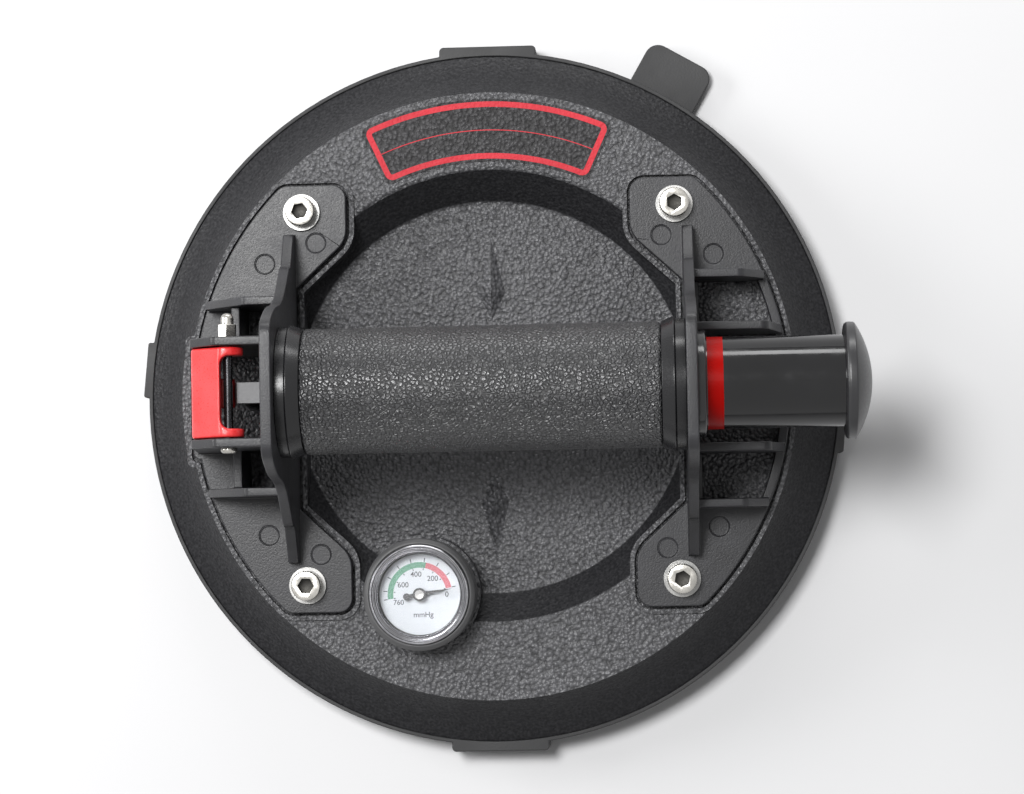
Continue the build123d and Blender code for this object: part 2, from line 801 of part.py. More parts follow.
# Pump cylinder: the tube through both uprights that carries the grip.
with BuildPart() as pump_cylinder:
    revolve(
        handle_section(
            (-cylinder_half_length, cylinder_bore),
            (-cylinder_half_length, cylinder_radius),
            (cylinder_half_length, cylinder_radius),
            (cylinder_half_length, cylinder_bore),
        ),
        axis=handle_axis,
    )
pump_cylinder.part.label = "pump_cylinder"
export_step(pump_cylinder.part, "parts/pump_cylinder.step")

# Grip sleeve, with a small chamfer at each end.
grip_bore = cylinder_radius + slip
with BuildPart() as grip_sleeve:
    revolve(
        handle_section(
            (-grip_half_length, grip_bore),
            (-grip_half_length, grip_radius - grip_chamfer),
            (-grip_half_length + grip_chamfer, grip_radius),
            (grip_half_length - grip_chamfer, grip_radius),
            (grip_half_length, grip_radius - grip_chamfer),
            (grip_half_length, grip_bore),
        ),
        axis=handle_axis,
    )
grip_sleeve.part.label = "grip_sleeve"
export_step(grip_sleeve.part, "parts/grip_sleeve.step")


def collar_section(side):
    """Outline of the stepped ring between the grip and one upright."""
    neck = upright_inner - collar_neck_length
    rim = neck - collar_rim_length
    return handle_section(
        (side * grip_half_length, grip_bore),
        (side * grip_half_length, grip_radius),
        (side * rim, collar_radius),
        (side * neck, collar_radius),
        (side * neck, collar_neck_radius),
        (side * upright_inner, collar_neck_radius),
        (side * upright_inner, grip_bore),
    )


with BuildPart() as valve_end_collar:
    revolve(collar_section(-1), axis=handle_axis)
valve_end_collar.part.label = "valve_end_collar"
export_step(valve_end_collar.part, "parts/valve_end_collar.step")

with BuildPart() as pump_end_collar:
    revolve(collar_section(1), axis=handle_axis)
pump_end_collar.part.label = "pump_end_collar"
export_step(pump_end_collar.part, "parts/pump_end_collar.step")

# Cylinder gland: the ring in the pump's mouth that guides the plunger, with a wiper.
gland_bore = plunger_radius + band_proud + running
gland_inner = pump_end - gland_shank_length
gland_face = pump_end + gland_flange_length
plunger_inner_end = gland_inner - face_gap
wiper_start = gland_inner + wiper_offset
wiper_end = wiper_start + wiper_length
with BuildPart() as cylinder_gland:
    revolve(
        handle_section(
            (gland_inner, gland_bore),
            (gland_inner, cylinder_bore - slip),
            (pump_end, cylinder_bore - slip),
            (pump_end, gland_flange_radius),
            (gland_face - 0.4, gland_flange_radius),
            (gland_face, gland_flange_radius - 0.4),
            (gland_face, gland_bore),
            (wiper_end, gland_bore),
            (wiper_end, gland_bore + wiper_depth),
            (wiper_start, gland_bore + wiper_depth),
            (wiper_start, gland_bore),
        ),
        axis=handle_axis,
    )
cylinder_gland.part.label = "cylinder_gland"
export_step(cylinder_gland.part, "parts/cylinder_gland.step")

with BuildPart() as wiper_ring:
    revolve(
        handle_section(
            (wiper_start, gland_bore - slip),
            (wiper_start, gland_bore + wiper_depth - slip),
            (wiper_end, gland_bore + wiper_depth - slip),
            (wiper_end, gland_bore - slip),
        ),
        axis=handle_axis,
    )
wiper_ring.part.label = "wiper_ring"
export_step(wiper_ring.part, "parts/wiper_ring.step")

# Plunger: a tube with a groove for the red band, a knob outside and a piston inside.
band_start = gland_face + face_gap
band_end = band_start + band_length
band_root = plunger_radius - band_depth
with BuildPart() as plunger_tube:
    revolve(
        handle_section(
            (plunger_inner_end, plunger_bore),
            (plunger_inner_end, plunger_radius),
            (band_start, plunger_radius),
            (band_start, band_root),
            (band_end, band_root),
            (band_end, plunger_radius),
            (plunger_outer_end, plunger_radius),
            (plunger_outer_end, plunger_bore),
        ),
        axis=handle_axis,
    )
plunger_tube.part.label = "plunger_tube"
export_step(plunger_tube.part, "parts/plunger_tube.step")

with BuildPart() as indicator_ring:
    revolve(
        handle_section(
            (band_start, band_root + slip),
            (band_start, plunger_radius + band_proud),
            (band_end, plunger_radius + band_proud),
            (band_end, band_root + slip),
        ),
        axis=handle_axis,
    )
indicator_ring.part.label = "indicator_ring"
export_step(indicator_ring.part, "parts/indicator_ring.step")

knob_end = plunger_outer_end + knob_length
knob_rim_end = plunger_outer_end + knob_edge_round + knob_rim_length
dome_rise = knob_end - knob_rim_end
dome_radius = (dome_rise**2 + knob_radius**2) / (2 * dome_rise)
dome_side = knob_radius / 2
with BuildPart() as plunger_knob:
    with BuildSketch(handle_plane):
        with BuildLine():
            Polyline(
                (knob_end, 0),
                (plunger_outer_end - knob_spigot, 0),
                (plunger_outer_end - knob_spigot, plunger_bore - slip),
                (plunger_outer_end, plunger_bore - slip),
                (plunger_outer_end, knob_radius - knob_edge_round),
            )
            RadiusArc(
                (plunger_outer_end, knob_radius - knob_edge_round),
                (plunger_outer_end + knob_edge_round, knob_radius),
                knob_edge_round,
            )
            Line((plunger_outer_end + knob_edge_round, knob_radius), (knob_rim_end, knob_radius))
            ThreePointArc(
                (knob_rim_end, knob_radius),
                (knob_end - dome_radius + math.sqrt(dome_radius**2 - dome_side**2), dome_side),
                (knob_end, 0),
            )
        make_face()
    revolve(axis=handle_axis)
plunger_knob.part.label = "plunger_knob"
export_step(plunger_knob.part, "parts/plunger_knob.step")

piston_face = plunger_inner_end - piston_length
seal_start = piston_face + seal_groove_offset
seal_end = seal_start + seal_groove_length
with BuildPart() as piston:
    revolve(
        handle_section(
            (piston_face - piston_pilot_length, 0),
            (piston_face - piston_pilot_length, piston_pilot_radius),
            (piston_face, piston_pilot_radius),
            (piston_face, piston_radius),
            (seal_start, piston_radius),
            (seal_start, seal_groove_radius),
            (seal_end, seal_groove_radius),
            (seal_end, piston_radius),
            (plunger_inner_end, piston_radius),
            (plunger_inner_end, plunger_bore - slip),
            (plunger_inner_end + piston_spigot, plunger_bore - slip),
            (plunger_inner_end + piston_spigot, 0),
        ),
        axis=handle_axis,
    )
piston.part.label = "piston"
export_step(piston.part, "parts/piston.step")

# Piston seal: a lipped ring whose open side faces the valves, so that air leaves past it.
seal_outer = cylinder_bore - slip
seal_middle = (seal_groove_radius + seal_outer) / 2
with BuildPart() as piston_seal:
    revolve(
        handle_section(
            (seal_start, seal_groove_radius + slip),
            (seal_start, seal_middle - 0.5),
            (seal_start + seal_groove_length / 2, seal_middle),
            (seal_start, seal_middle + 0.5),
            (seal_start, seal_outer),
            (seal_end, seal_outer - 0.2),
            (seal_end, seal_groove_radius + slip),
        ),
        axis=handle_axis,
    )
piston_seal.part.label = "piston_seal"
export_step(piston_seal.part, "parts/piston_seal.step")

# Return spring between the valve body and the piston.
with BuildPart() as return_spring:
    add(coil(valve_inner, spring_radius, spring_wire, spring_turns, piston_face - valve_inner))
return_spring.part.label = "return_spring"
export_step(return_spring.part, "parts/return_spring.step")

# Valve body: the plug in the cylinder's far end, with the release valve and the check valve.
with BuildPart() as valve_body:
    revolve(
        handle_section(
            (valve_face, 0),
            (valve_face, cylinder_bore - slip),
            (valve_inner, cylinder_bore - slip),
            (valve_inner, 0),
        ),
        axis=handle_axis,
    )
    with BuildSketch(across_handle(valve_face)):
        Rectangle(stem_width + 2 * running, stem_height + 2 * running)
    extrude(amount=guide_depth, mode=Mode.SUBTRACT)
    with BuildSketch(across_handle(valve_face)):
        Circle(stem_rod_radius + running)
    extrude(amount=guide_depth + guide_wall, mode=Mode.SUBTRACT)
    with BuildSketch(across_handle(chamber_start)):
        Circle(chamber_radius)
    extrude(amount=valve_inner - chamber_start, mode=Mode.SUBTRACT)
    with BuildSketch(across_handle(valve_face)):
        with Locations((0, -air_port_drop)):
            Circle(spigot_radius + slip)
    extrude(amount=spigot_length + slip, mode=Mode.SUBTRACT)
    cross_drill_x = chamber_start + chamber_radius / 2
    with BuildSketch(across_handle(valve_face)):
        with Locations((0, -air_port_drop)):
            Circle(air_bore)
    extrude(amount=cross_drill_x + air_bore - valve_face, mode=Mode.SUBTRACT)
    with BuildSketch(Plane.XY.offset(air_port_z)):
        with Locations((cross_drill_x, 0)):
            Circle(air_bore)
    extrude(amount=air_port_drop, mode=Mode.SUBTRACT)
valve_body.part.label = "valve_body"
export_step(valve_body.part, "parts/valve_body.step")

# Release valve: a grey stem with a tab outside and a seal inside, held shut by a spring.
stem_end = valve_face - stem_reach
tab_end = valve_face + stem_tab_inside
seal_back = chamber_start + stem_seal_thickness
head_end = seal_back + stem_head_length
check_seat_start = chamber_start + check_seat_offset
check_seat_end = check_seat_start + check_seat_thickness
with BuildPart() as valve_stem:
    with BuildSketch(across_handle(stem_end)):
        Rectangle(stem_width, stem_height)
    extrude(amount=tab_end - stem_end)
    chamfer(valve_stem.faces().sort_by(Axis.X)[0].edges(), 0.5)
    with BuildSketch(across_handle(tab_end)):
        Circle(stem_rod_radius)
    extrude(amount=seal_back - tab_end)
    with BuildSketch(across_handle(seal_back)):
        Circle(stem_head_radius)
    extrude(amount=stem_head_length)
valve_stem.part.label = "valve_stem"
export_step(valve_stem.part, "parts/valve_stem.step")

with BuildPart() as stem_seal:
    with BuildSketch(across_handle(chamber_start)):
        Circle(stem_seal_radius)
        Circle(stem_rod_radius + slip, mode=Mode.SUBTRACT)
    extrude(amount=stem_seal_thickness)
stem_seal.part.label = "stem_seal"
export_step(stem_seal.part, "parts/stem_seal.step")

with BuildPart() as stem_spring:
    add(coil(head_end, stem_spring_radius, stem_spring_wire, stem_spring_turns, check_seat_start - head_end))
stem_spring.part.label = "stem_spring"
export_step(stem_spring.part, "parts/stem_spring.step")

# Check valve: a seat plug, a disc on a short stem, its spring, and a drilled retainer.
disc_back = check_seat_end + check_disc_thickness
retainer_start = disc_back + retainer_offset
with BuildPart() as check_seat:
    with BuildSketch(across_handle(check_seat_start)):
        Circle(chamber_radius - slip)
        Circle(check_port_radius, mode=Mode.SUBTRACT)
    extrude(amount=check_seat_thickness)
check_seat.part.label = "check_seat"
export_step(check_seat.part, "parts/check_seat.step")

with BuildPart() as check_disc:
    with BuildSketch(across_handle(check_seat_end)):
        Circle(check_disc_radius)
    extrude(amount=check_disc_thickness)
    with BuildSketch(across_handle(disc_back)):
        Circle(check_stem_radius)
    extrude(amount=check_stem_length)
check_disc.part.label = "check_disc"
export_step(check_disc.part, "parts/check_disc.step")

with BuildPart() as check_spring:
    add(coil(disc_back, check_spring_radius, check_spring_wire, check_spring_turns, retainer_offset))
check_spring.part.label = "check_spring"
export_step(check_spring.part, "parts/check_spring.step")

with BuildPart() as check_retainer:
    with BuildSketch(across_handle(retainer_start)):
        Circle(chamber_radius - slip)
        Circle(check_stem_radius + running, mode=Mode.SUBTRACT)
        with PolarLocations(retainer_hole_circle, 6):
            Circle(retainer_hole_radius, mode=Mode.SUBTRACT)
    extrude(amount=retainer_thickness)
check_retainer.part.label = "check_retainer"
export_step(check_retainer.part, "parts/check_retainer.step")

# Air elbow: screws into the valve body below the stem and turns down to the hose.
elbow_end = air_port_z - elbow_drop
with BuildPart() as air_elbow:
    with BuildLine() as bend:
        FilletPolyline(
            (valve_face, 0, air_port_z), (hose_x, 0, air_port_z), (hose_x, 0, elbow_end), radius=elbow_bend
        )
    with BuildSketch(across_handle(valve_face)):
        with Locations((0, -air_port_drop)):
            Circle(elbow_radius)
            Circle(air_bore, mode=Mode.SUBTRACT)
    sweep(path=bend.line)
    with BuildSketch(across_handle(valve_face)):
        with Locations((0, -air_port_drop)):
            Circle(spigot_radius)
            Circle(air_bore, mode=Mode.SUBTRACT)
    extrude(amount=spigot_length)
    with BuildSketch(Plane(origin=(hose_x, 0, 0), x_dir=(1, 0, 0), z_dir=(0, -1, 0))):
        with BuildLine():
            Polyline(
                (air_bore, elbow_end),
                (barb_radius, elbow_end),
                (barb_radius, elbow_end - barb_length),
                (air_bore, elbow_end - barb_length),
                close=True,
            )
        make_face()
    revolve(axis=Axis((hose_x, 0, 0), (0, 0, 1)))
air_elbow.part.label = "air_elbow"
export_step(air_elbow.part, "parts/air_elbow.step")

# Air hose: the straight rubber tube between the elbow and the nipple.
with BuildPart() as air_hose:
    with BuildSketch(Plane.XY.offset(hose_bottom)):
        with Locations((hose_x, 0)):
            Circle(hose_radius)
            Circle(barb_radius + slip, mode=Mode.SUBTRACT)
    extrude(amount=elbow_end - hose_bottom)
air_hose.part.label = "air_hose"
export_step(air_hose.part, "parts/air_hose.step")

# Base nipple: screws through the base plate and the backing plate, down to the cup's port.
with BuildPart() as base_nipple:
    with BuildSketch(Plane.XY.offset(pocket_floor)):
        with Locations((hose_x, 0)):
            RegularPolygon(nipple_across_flats / 2, 6, major_radius=False, rotation=30)
    extrude(amount=nipple_hex_height)
    with BuildSketch(Plane.XY.offset(shank_bottom)):
        with Locations((hose_x, 0)):
            Circle(nipple_shank_radius)
    extrude(amount=pocket_floor - shank_bottom)
    with BuildSketch(Plane.XY.offset(hose_bottom)):
        with Locations((hose_x, 0)):
            Circle(barb_radius)
    extrude(amount=barb_length)
    with Locations((hose_x, 0, hose_bottom + barb_length)):
        Hole(air_bore)
base_nipple.part.label = "base_nipple"
export_step(base_nipple.part, "parts/base_nipple.step")

# Release lever: a bent thumb paddle whose sides run into two ears round the pivot,
# with a notch between them and a round nose inside that meets the stem.
paddle_half_width = arm_y - arm_thickness / 2 - face_gap
ear_inner_y = paddle_half_width - ear_thickness
pivot = Vector(pivot_x, pivot_z)
brow = pivot + Vector(-paddle_top_reach, ear_radius)
knee = pivot + Vector(-paddle_knee_reach, -paddle_knee_drop)
tip = pivot + Vector(-paddle_bottom_reach, -paddle_bottom_drop)
slope_angle = math.degrees(math.atan2(brow.Y - knee.Y, brow.X - knee.X))
wall_angle = math.degrees(math.atan2(knee.Y - tip.Y, knee.X - tip.X))
half_turn = math.radians(wall_angle - slope_angle) / 2
wall_cut = paddle_thickness / math.sin(math.radians(wall_angle))
inner_knee = knee + Vector(paddle_thickness / math.cos(half_turn), 0).rotate(
    Axis.Z, (slope_angle + wall_angle) / 2 - 90
)
inner_brow = inner_knee + (brow - knee) * 0.8
inner_tip = inner_knee + (tip - knee) * 1.2
ear_root = knee + (tip - knee) * ((ear_root_drop - paddle_knee_drop) / (knee.Y - tip.Y)) + Vector(wall_cut, 0)
nose_center_x = stem_end - face_gap - nose_radius
with BuildPart() as release_lever:
    with BuildSketch(Plane.XZ) as side_view:
        with BuildLine():
            ThreePointArc(
                pivot + Vector(0, -ear_radius), pivot + Vector(ear_radius, 0), pivot + Vector(0, ear_radius)
            )
            FilletPolyline(
                pivot + Vector(0, ear_radius),
                brow,
                knee,
                tip,
                tip + Vector(wall_cut, 0),
                ear_root,
                radius=(
                    paddle_edge_round, paddle_knee_round, paddle_edge_round, paddle_edge_round
                ),
            )
            Line(ear_root, pivot + Vector(0, -ear_radius))
        make_face()
    extrude(amount=paddle_half_width, both=True)
    with BuildSketch(Plane.XZ):
        with BuildLine():
            Polyline(
                inner_tip,
                inner_knee,
                inner_brow,
                (pivot.X + ear_radius + 1, inner_brow.Y),
                (pivot.X + ear_radius + 1, inner_tip.Y),
                close=True,
            )
        make_face()
    extrude(amount=ear_inner_y, both=True, mode=Mode.SUBTRACT)
    notch_length = paddle_top_reach + 2 * ear_radius
    with BuildSketch(Plane.XY.offset(pivot_z - ear_radius / 2)):
        with Locations((brow.X + notch_length / 2, 0)):
            RectangleRounded(notch_length, 2 * ear_inner_y, ear_notch_corner)
    extrude(amount=2 * ear_radius, mode=Mode.SUBTRACT)
    paddle_tall = 2 * (brow.Y - tip.Y)
    with BuildSketch(Plane.YZ.offset(tip.X - 1)):
        with Locations((0, tip.Y + paddle_tall / 2)):
            RectangleRounded(2 * paddle_half_width, paddle_tall, paddle_corner)
    extrude(amount=paddle_bottom_reach + 2 * ear_radius, mode=Mode.INTERSECT)
    with BuildSketch(Plane.XZ):
        with Locations((nose_center_x, handle_height)):
            Circle(nose_radius)
        web_start = inner_knee.X - paddle_thickness / 3
        with Locations(((web_start + nose_center_x) / 2, handle_height)):
            Rectangle(nose_center_x - web_start, 2 * nose_radius)
    extrude(amount=nose_width / 2, both=True)
    with BuildSketch(Plane.XZ.offset(-2 * arm_y)):
        with Locations((pivot_x, pivot_z)):
            Circle(bolt_radius + running)
    extrude(amount=4 * arm_y, mode=Mode.SUBTRACT)
release_lever.part.label = "release_lever"
export_step(release_lever.part, "parts/release_lever.step")

# Pivot bolt through the arms, with an acorn nut at +Y.
bolt_end = arm_outer_y + acorn_hex_height
with BuildPart() as pivot_bolt:
    with BuildSketch(Plane.XZ.offset(arm_outer_y)):
        with Locations((pivot_x, pivot_z)):
            Circle(bolt_head_radius)
    extrude(amount=bolt_head_height)
    fillet(pivot_bolt.faces().sort_by(Axis.Y)[0].edges(), bolt_head_height * 0.6)
    with BuildSketch(Plane.XZ.offset(arm_outer_y)):
        with Locations((pivot_x, pivot_z)):
            Circle(bolt_radius)
    extrude(amount=-(arm_outer_y + bolt_end))
pivot_bolt.part.label = "pivot_bolt"
export_step(pivot_bolt.part, "parts/pivot_bolt.step")

with BuildPart() as acorn_nut:
    with BuildSketch(Plane.XZ.offset(-arm_outer_y)):
        with Locations((pivot_x, pivot_z)):
            RegularPolygon(acorn_across_flats / 2, 6, major_radius=False, rotation=30)
    extrude(amount=-acorn_hex_height)
    with BuildSketch(Plane.XZ.offset(-bolt_end)):
        with Locations((pivot_x, pivot_z)):
            Circle(acorn_dome_radius)
    extrude(amount=-acorn_dome_height)
    fillet(acorn_nut.faces().sort_by(Axis.Y)[-1].edges(), acorn_dome_radius * 0.9)
    with BuildSketch(Plane.XZ.offset(-arm_outer_y)):
        with Locations((pivot_x, pivot_z)):
            Circle(bolt_radius + slip)
    extrude(amount=-acorn_hex_height - slip, mode=Mode.SUBTRACT)
acorn_nut.part.label = "acorn_nut"
export_step(acorn_nut.part, "parts/acorn_nut.step")

# Gauge: a rubber boot, a steel case with a crimped bezel, a lens, and the works inside.
boot_top = deck + boot_height
case_bottom = deck + boot_floor
case_top = case_bottom + case_height
case_inside = case_radius - case_wall
case_floor = case_bottom + case_wall
with BuildPart() as gauge_boot:
    revolve(
        gauge_section(
            (gauge_shank_radius + boot_wall, deck),
            (boot_radius, deck),
            (boot_radius, boot_top - 1),
            (boot_radius - 1, boot_top),
            (bezel_radius + slip, boot_top),
            (bezel_radius + slip, case_bottom),
            (gauge_shank_radius + boot_wall, case_bottom),
        ),
        axis=gauge_axis,
    )
gauge_boot.part.label = "gauge_boot"
export_step(gauge_boot.part, "parts/gauge_boot.step")

with BuildPart() as gauge_case:
    revolve(
        gauge_section(
            (gauge_shank_radius + slip, case_bottom),
            (case_radius, case_bottom),
            (case_radius, case_top),
            (case_inside, case_top),
            (case_inside, case_floor),
            (gauge_shank_radius + slip, case_floor),
        ),
        axis=gauge_axis,
    )
gauge_case.part.label = "gauge_case"
export_step(gauge_case.part, "parts/gauge_case.step")

with BuildPart() as gauge_bezel:
    revolve(
        gauge_section(
            (bezel_window, case_top),
            (case_radius + slip, case_top),
            (case_radius + slip, case_top - bezel_skirt),
            (bezel_radius, case_top - bezel_skirt),
            (bezel_radius, case_top + bezel_lip / 2),
            (bezel_radius - bezel_lip / 2, case_top + bezel_lip),
            (bezel_window + bezel_lip, case_top + bezel_lip),
        ),
        axis=gauge_axis,
    )
gauge_bezel.part.label = "gauge_bezel"
export_step(gauge_bezel.part, "parts/gauge_bezel.step")

with BuildPart() as gauge_lens:
    with Locations((gauge_x, gauge_y, case_top)):
        Cylinder(case_inside - slip, lens_thickness, align=(Align.CENTER, Align.CENTER, Align.MAX))
gauge_lens.part.label = "gauge_lens"
export_step(gauge_lens.part, "parts/gauge_lens.step")

# Gauge stem: the threaded shank through base and backing plate, with the tube's root block.
block_top = case_floor + gauge_block_height
tube_bottom = block_top + tube_lift
root_y = gauge_y - tube_radius
with BuildPart() as gauge_stem:
    with BuildSketch(Plane.XY.offset(shank_bottom)):
        with Locations((gauge_x, gauge_y)):
            Circle(gauge_shank_radius)
    extrude(amount=case_floor - shank_bottom)
    with BuildSketch(Plane.XY.offset(case_floor)):
        with Locations((gauge_x, gauge_y)):
            Circle(gauge_block_radius)
        with Locations((gauge_x, (gauge_y + root_y) / 2)):
            Rectangle(2 * tube_width, tube_radius)
    extrude(amount=gauge_block_height)
    with BuildSketch(Plane.XY.offset(block_top)):
        with Locations((gauge_x, root_y + tube_width / 2)):
            Rectangle(2 * tube_width, 2 * tube_width)
    extrude(amount=tube_lift + tube_height)
    with BuildSketch(Plane.XY.offset(shank_bottom)):
        with Locations((gauge_x, gauge_y)):
            Circle(gauge_bore)
    extrude(amount=case_floor + gauge_block_height / 2 - shank_bottom, mode=Mode.SUBTRACT)
gauge_stem.part.label = "gauge_stem"
export_step(gauge_stem.part, "parts/gauge_stem.step")

# Bourdon tube: a flattened tube bent round the works, rooted in the stem's block.
tube_start = math.degrees(math.asin((tube_width + slip) / (tube_radius - tube_width / 2)))
tube_out = Vector(0, -1, 0).rotate(Axis.Z, tube_start)
tube_plane = Plane(
    origin=(gauge_x, gauge_y, tube_bottom), x_dir=tube_out, z_dir=tube_out.cross(Vector(0, 0, 1))
)
with BuildPart() as bourdon_tube:
    with BuildSketch(tube_plane):
        with Locations((tube_radius, tube_height / 2)):
            Rectangle(tube_width, tube_height)
            Rectangle(tube_width - 2 * tube_wall, tube_height - 2 * tube_wall, mode=Mode.SUBTRACT)
    revolve(axis=gauge_axis, revolution_arc=tube_sweep)
bourdon_tube.part.label = "bourdon_tube"
export_step(bourdon_tube.part, "parts/bourdon_tube.step")

# Movement: two small plates on pillars that carry the sector and the needle's arbor.
pinion_pitch_radius = gear_module * pinion_teeth / 2
sector_pitch_radius = gear_module * sector_full_teeth / 2
sector_pivot = sector_pitch_radius + pinion_pitch_radius
upper_plate = block_top + movement_plate + movement_gap
movement_top = upper_plate + movement_plate
movement_y = gauge_y + sector_pivot / 2
with BuildPart() as gauge_movement:
    for level in (block_top, upper_plate):
        with BuildSketch(Plane.XY.offset(level)):
            with Locations((gauge_x, movement_y)):
                Rectangle(movement_width, sector_pivot + movement_depth / 2)
            with Locations((gauge_x, gauge_y), (gauge_x, gauge_y + sector_pivot)):
                Circle(arbor_radius + slip, mode=Mode.SUBTRACT)
        extrude(amount=movement_plate)
    pillar_x = movement_width / 2 - movement_pillar_radius
    with BuildSketch(Plane.XY.offset(block_top)):
        with Locations((gauge_x - pillar_x, gauge_y), (gauge_x + pillar_x, gauge_y)):
            Circle(movement_pillar_radius)
    extrude(amount=movement_top - block_top)
gauge_movement.part.label = "gauge_movement"
export_step(gauge_movement.part, "parts/gauge_movement.step")

gear_bottom = block_top + movement_plate + (movement_gap - gear_face) / 2
dial_bottom = movement_top
dial_top = dial_bottom + dial_thickness
needle_bottom = dial_top + needle_lift
pinion_root = pinion_pitch_radius - gear_module
sector_root = sector_pitch_radius - 1.2 * gear_module


def gear_tooth(pitch_radius):
    """One tooth that points along +X from the gear's centre, a little sunk into its hub."""
    half = gear_module * math.pi * tooth_width_share / 2
    with BuildSketch() as tooth:
        with BuildLine():
            Polyline(
                (pitch_radius - 1.4 * gear_module, 1.25 * half),
                (pitch_radius, half),
                (pitch_radius + 0.9 * gear_module, 0.4 * half),
                (pitch_radius + 0.9 * gear_module, -0.4 * half),
                (pitch_radius, -half),
                (pitch_radius - 1.4 * gear_module, -1.25 * half),
                close=True,
            )
        make_face()
    return tooth.sketch


with BuildPart() as gauge_pinion:
    with BuildSketch(Plane(origin=(gauge_x, gauge_y, gear_bottom))):
        Circle(pinion_root)
        with PolarLocations(0, pinion_teeth):
            add(gear_tooth(pinion_pitch_radius))
    extrude(amount=gear_face)
    with BuildSketch(Plane.XY.offset(block_top + slip)):
        with Locations((gauge_x, gauge_y)):
            Circle(arbor_radius)
    extrude(amount=needle_bottom - block_top - slip)
gauge_pinion.part.label = "gauge_pinion"
export_step(gauge_pinion.part, "parts/gauge_pinion.step")

# Sector: at rest a tooth gap near one end of it faces the pinion, and it swings to the other end.
tooth_angle = 360 / sector_full_teeth
sector_middle = (sector_teeth - 2) / 2 * tooth_angle - 90
sector_spread = sector_teeth * tooth_angle
sector_plane = Plane(origin=(gauge_x, gauge_y + sector_pivot, gear_bottom))
with BuildPart() as gauge_sector:
    with BuildSketch(sector_plane.rotated((0, 0, sector_middle))):
        with BuildLine():
            CenterArc((0, 0), sector_root, -sector_spread / 2, sector_spread)
            Line((0, 0), Vector(sector_root, 0).rotate(Axis.Z, -sector_spread / 2))
            Line((0, 0), Vector(sector_root, 0).rotate(Axis.Z, sector_spread / 2))
        make_face()
        Circle(3 * arbor_radius)
        with PolarLocations(0, sector_teeth, start_angle=(tooth_angle - sector_spread) / 2,
                            angular_range=sector_spread):
            add(gear_tooth(sector_pitch_radius))
    extrude(amount=gear_face)
    with BuildSketch(Plane.XY.offset(block_top + slip)):
        with Locations((gauge_x, gauge_y + sector_pivot)):
            Circle(arbor_radius)
    extrude(amount=movement_top - block_top - 2 * slip)
gauge_sector.part.label = "gauge_sector"
export_step(gauge_sector.part, "parts/gauge_sector.step")

with BuildPart() as gauge_dial:
    with BuildSketch(Plane.XY.offset(dial_bottom)):
        with Locations((gauge_x, gauge_y)):
            Circle(case_inside - slip)
            Circle(2 * arbor_radius, mode=Mode.SUBTRACT)
    extrude(amount=dial_thickness)
gauge_dial.part.label = "gauge_dial"
export_step(gauge_dial.part, "parts/gauge_dial.step")

# Needle: a tapered pointer with a drop-shaped tail and a round hub, resting at zero.
with BuildPart() as gauge_needle:
    needle_plane = Plane(origin=(gauge_x, gauge_y, needle_bottom)).rotated((0, 0, needle_rest_angle))
    with BuildSketch(needle_plane):
        with BuildLine():
            Polyline(
                (needle_length, 0),
                (0, needle_root_width / 2),
                (-needle_tail + 1, needle_root_width / 3),
                (-needle_tail + 1, -needle_root_width / 3),
                (0, -needle_root_width / 2),
                close=True,
            )
        make_face()
        with Locations((-needle_tail + 1, 0)):
            Circle(1)
    extrude(amount=needle_thickness)
    with BuildSketch(needle_plane):
        Circle(needle_hub_radius)
    extrude(amount=needle_hub_height)
gauge_needle.part.label = "gauge_needle"
export_step(gauge_needle.part, "parts/gauge_needle.step")
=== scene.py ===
import math

import bmesh
import bpy
from mathutils import Matrix, Vector


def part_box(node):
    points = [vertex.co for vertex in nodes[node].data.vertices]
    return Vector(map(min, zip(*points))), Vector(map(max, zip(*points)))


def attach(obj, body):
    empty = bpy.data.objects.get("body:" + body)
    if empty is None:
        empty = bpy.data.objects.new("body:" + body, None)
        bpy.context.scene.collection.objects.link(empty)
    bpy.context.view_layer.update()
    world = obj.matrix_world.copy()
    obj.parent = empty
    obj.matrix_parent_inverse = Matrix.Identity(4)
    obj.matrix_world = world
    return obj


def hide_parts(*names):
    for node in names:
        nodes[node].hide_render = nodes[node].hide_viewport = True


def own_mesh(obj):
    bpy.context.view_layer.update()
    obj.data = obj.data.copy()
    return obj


# Glass suction lifter with a hand pump in its handle. Metres, Z up, the glass is at Z = 0,
# the pump's plunger points to +X and the release lever to -X.
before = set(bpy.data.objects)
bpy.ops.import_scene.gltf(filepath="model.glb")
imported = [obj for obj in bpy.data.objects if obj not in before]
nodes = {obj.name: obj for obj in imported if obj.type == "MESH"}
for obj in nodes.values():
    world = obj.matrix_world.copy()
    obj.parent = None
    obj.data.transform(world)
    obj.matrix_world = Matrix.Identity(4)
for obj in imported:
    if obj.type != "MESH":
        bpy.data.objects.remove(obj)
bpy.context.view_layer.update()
MM = 0.001


# Rubber cup: a black rubber pad, 200 mm across, compression moulded with a thin lip that
# seals on the glass, four locating tabs and one tab to peel it off by. The rubber is satin,
# with a faint dusty bloom and a fine texture from the mould.
def screen(red, green, blue):
    """A colour written as it looks on a screen, 0 to 255, made linear for the shader."""
    parts = []
    for value in (red, green, blue):
        value = value / 255
        parts.append(value / 12.92 if value <= 0.04045 else ((value + 0.055) / 1.055) ** 2.4)
    return (*parts, 1.0)


def start_material(name, roughness=0.5, metallic=0.0, specular=0.5, coat=0.0):
    """A principled material, its node tree, its shader and the piece's own coordinates."""
    material = bpy.data.materials.new(name)
    material.use_nodes = True
    tree = material.node_tree
    shader = tree.nodes["Principled BSDF"]
    shader.inputs["Roughness"].default_value = roughness
    shader.inputs["Metallic"].default_value = metallic
    shader.inputs["Specular IOR Level"].default_value = specular
    shader.inputs["Coat Weight"].default_value = coat
    shader.inputs["Coat Roughness"].default_value = 0.12
    place = tree.nodes.new("ShaderNodeTexCoord").outputs["Object"]
    return material, tree, shader, place


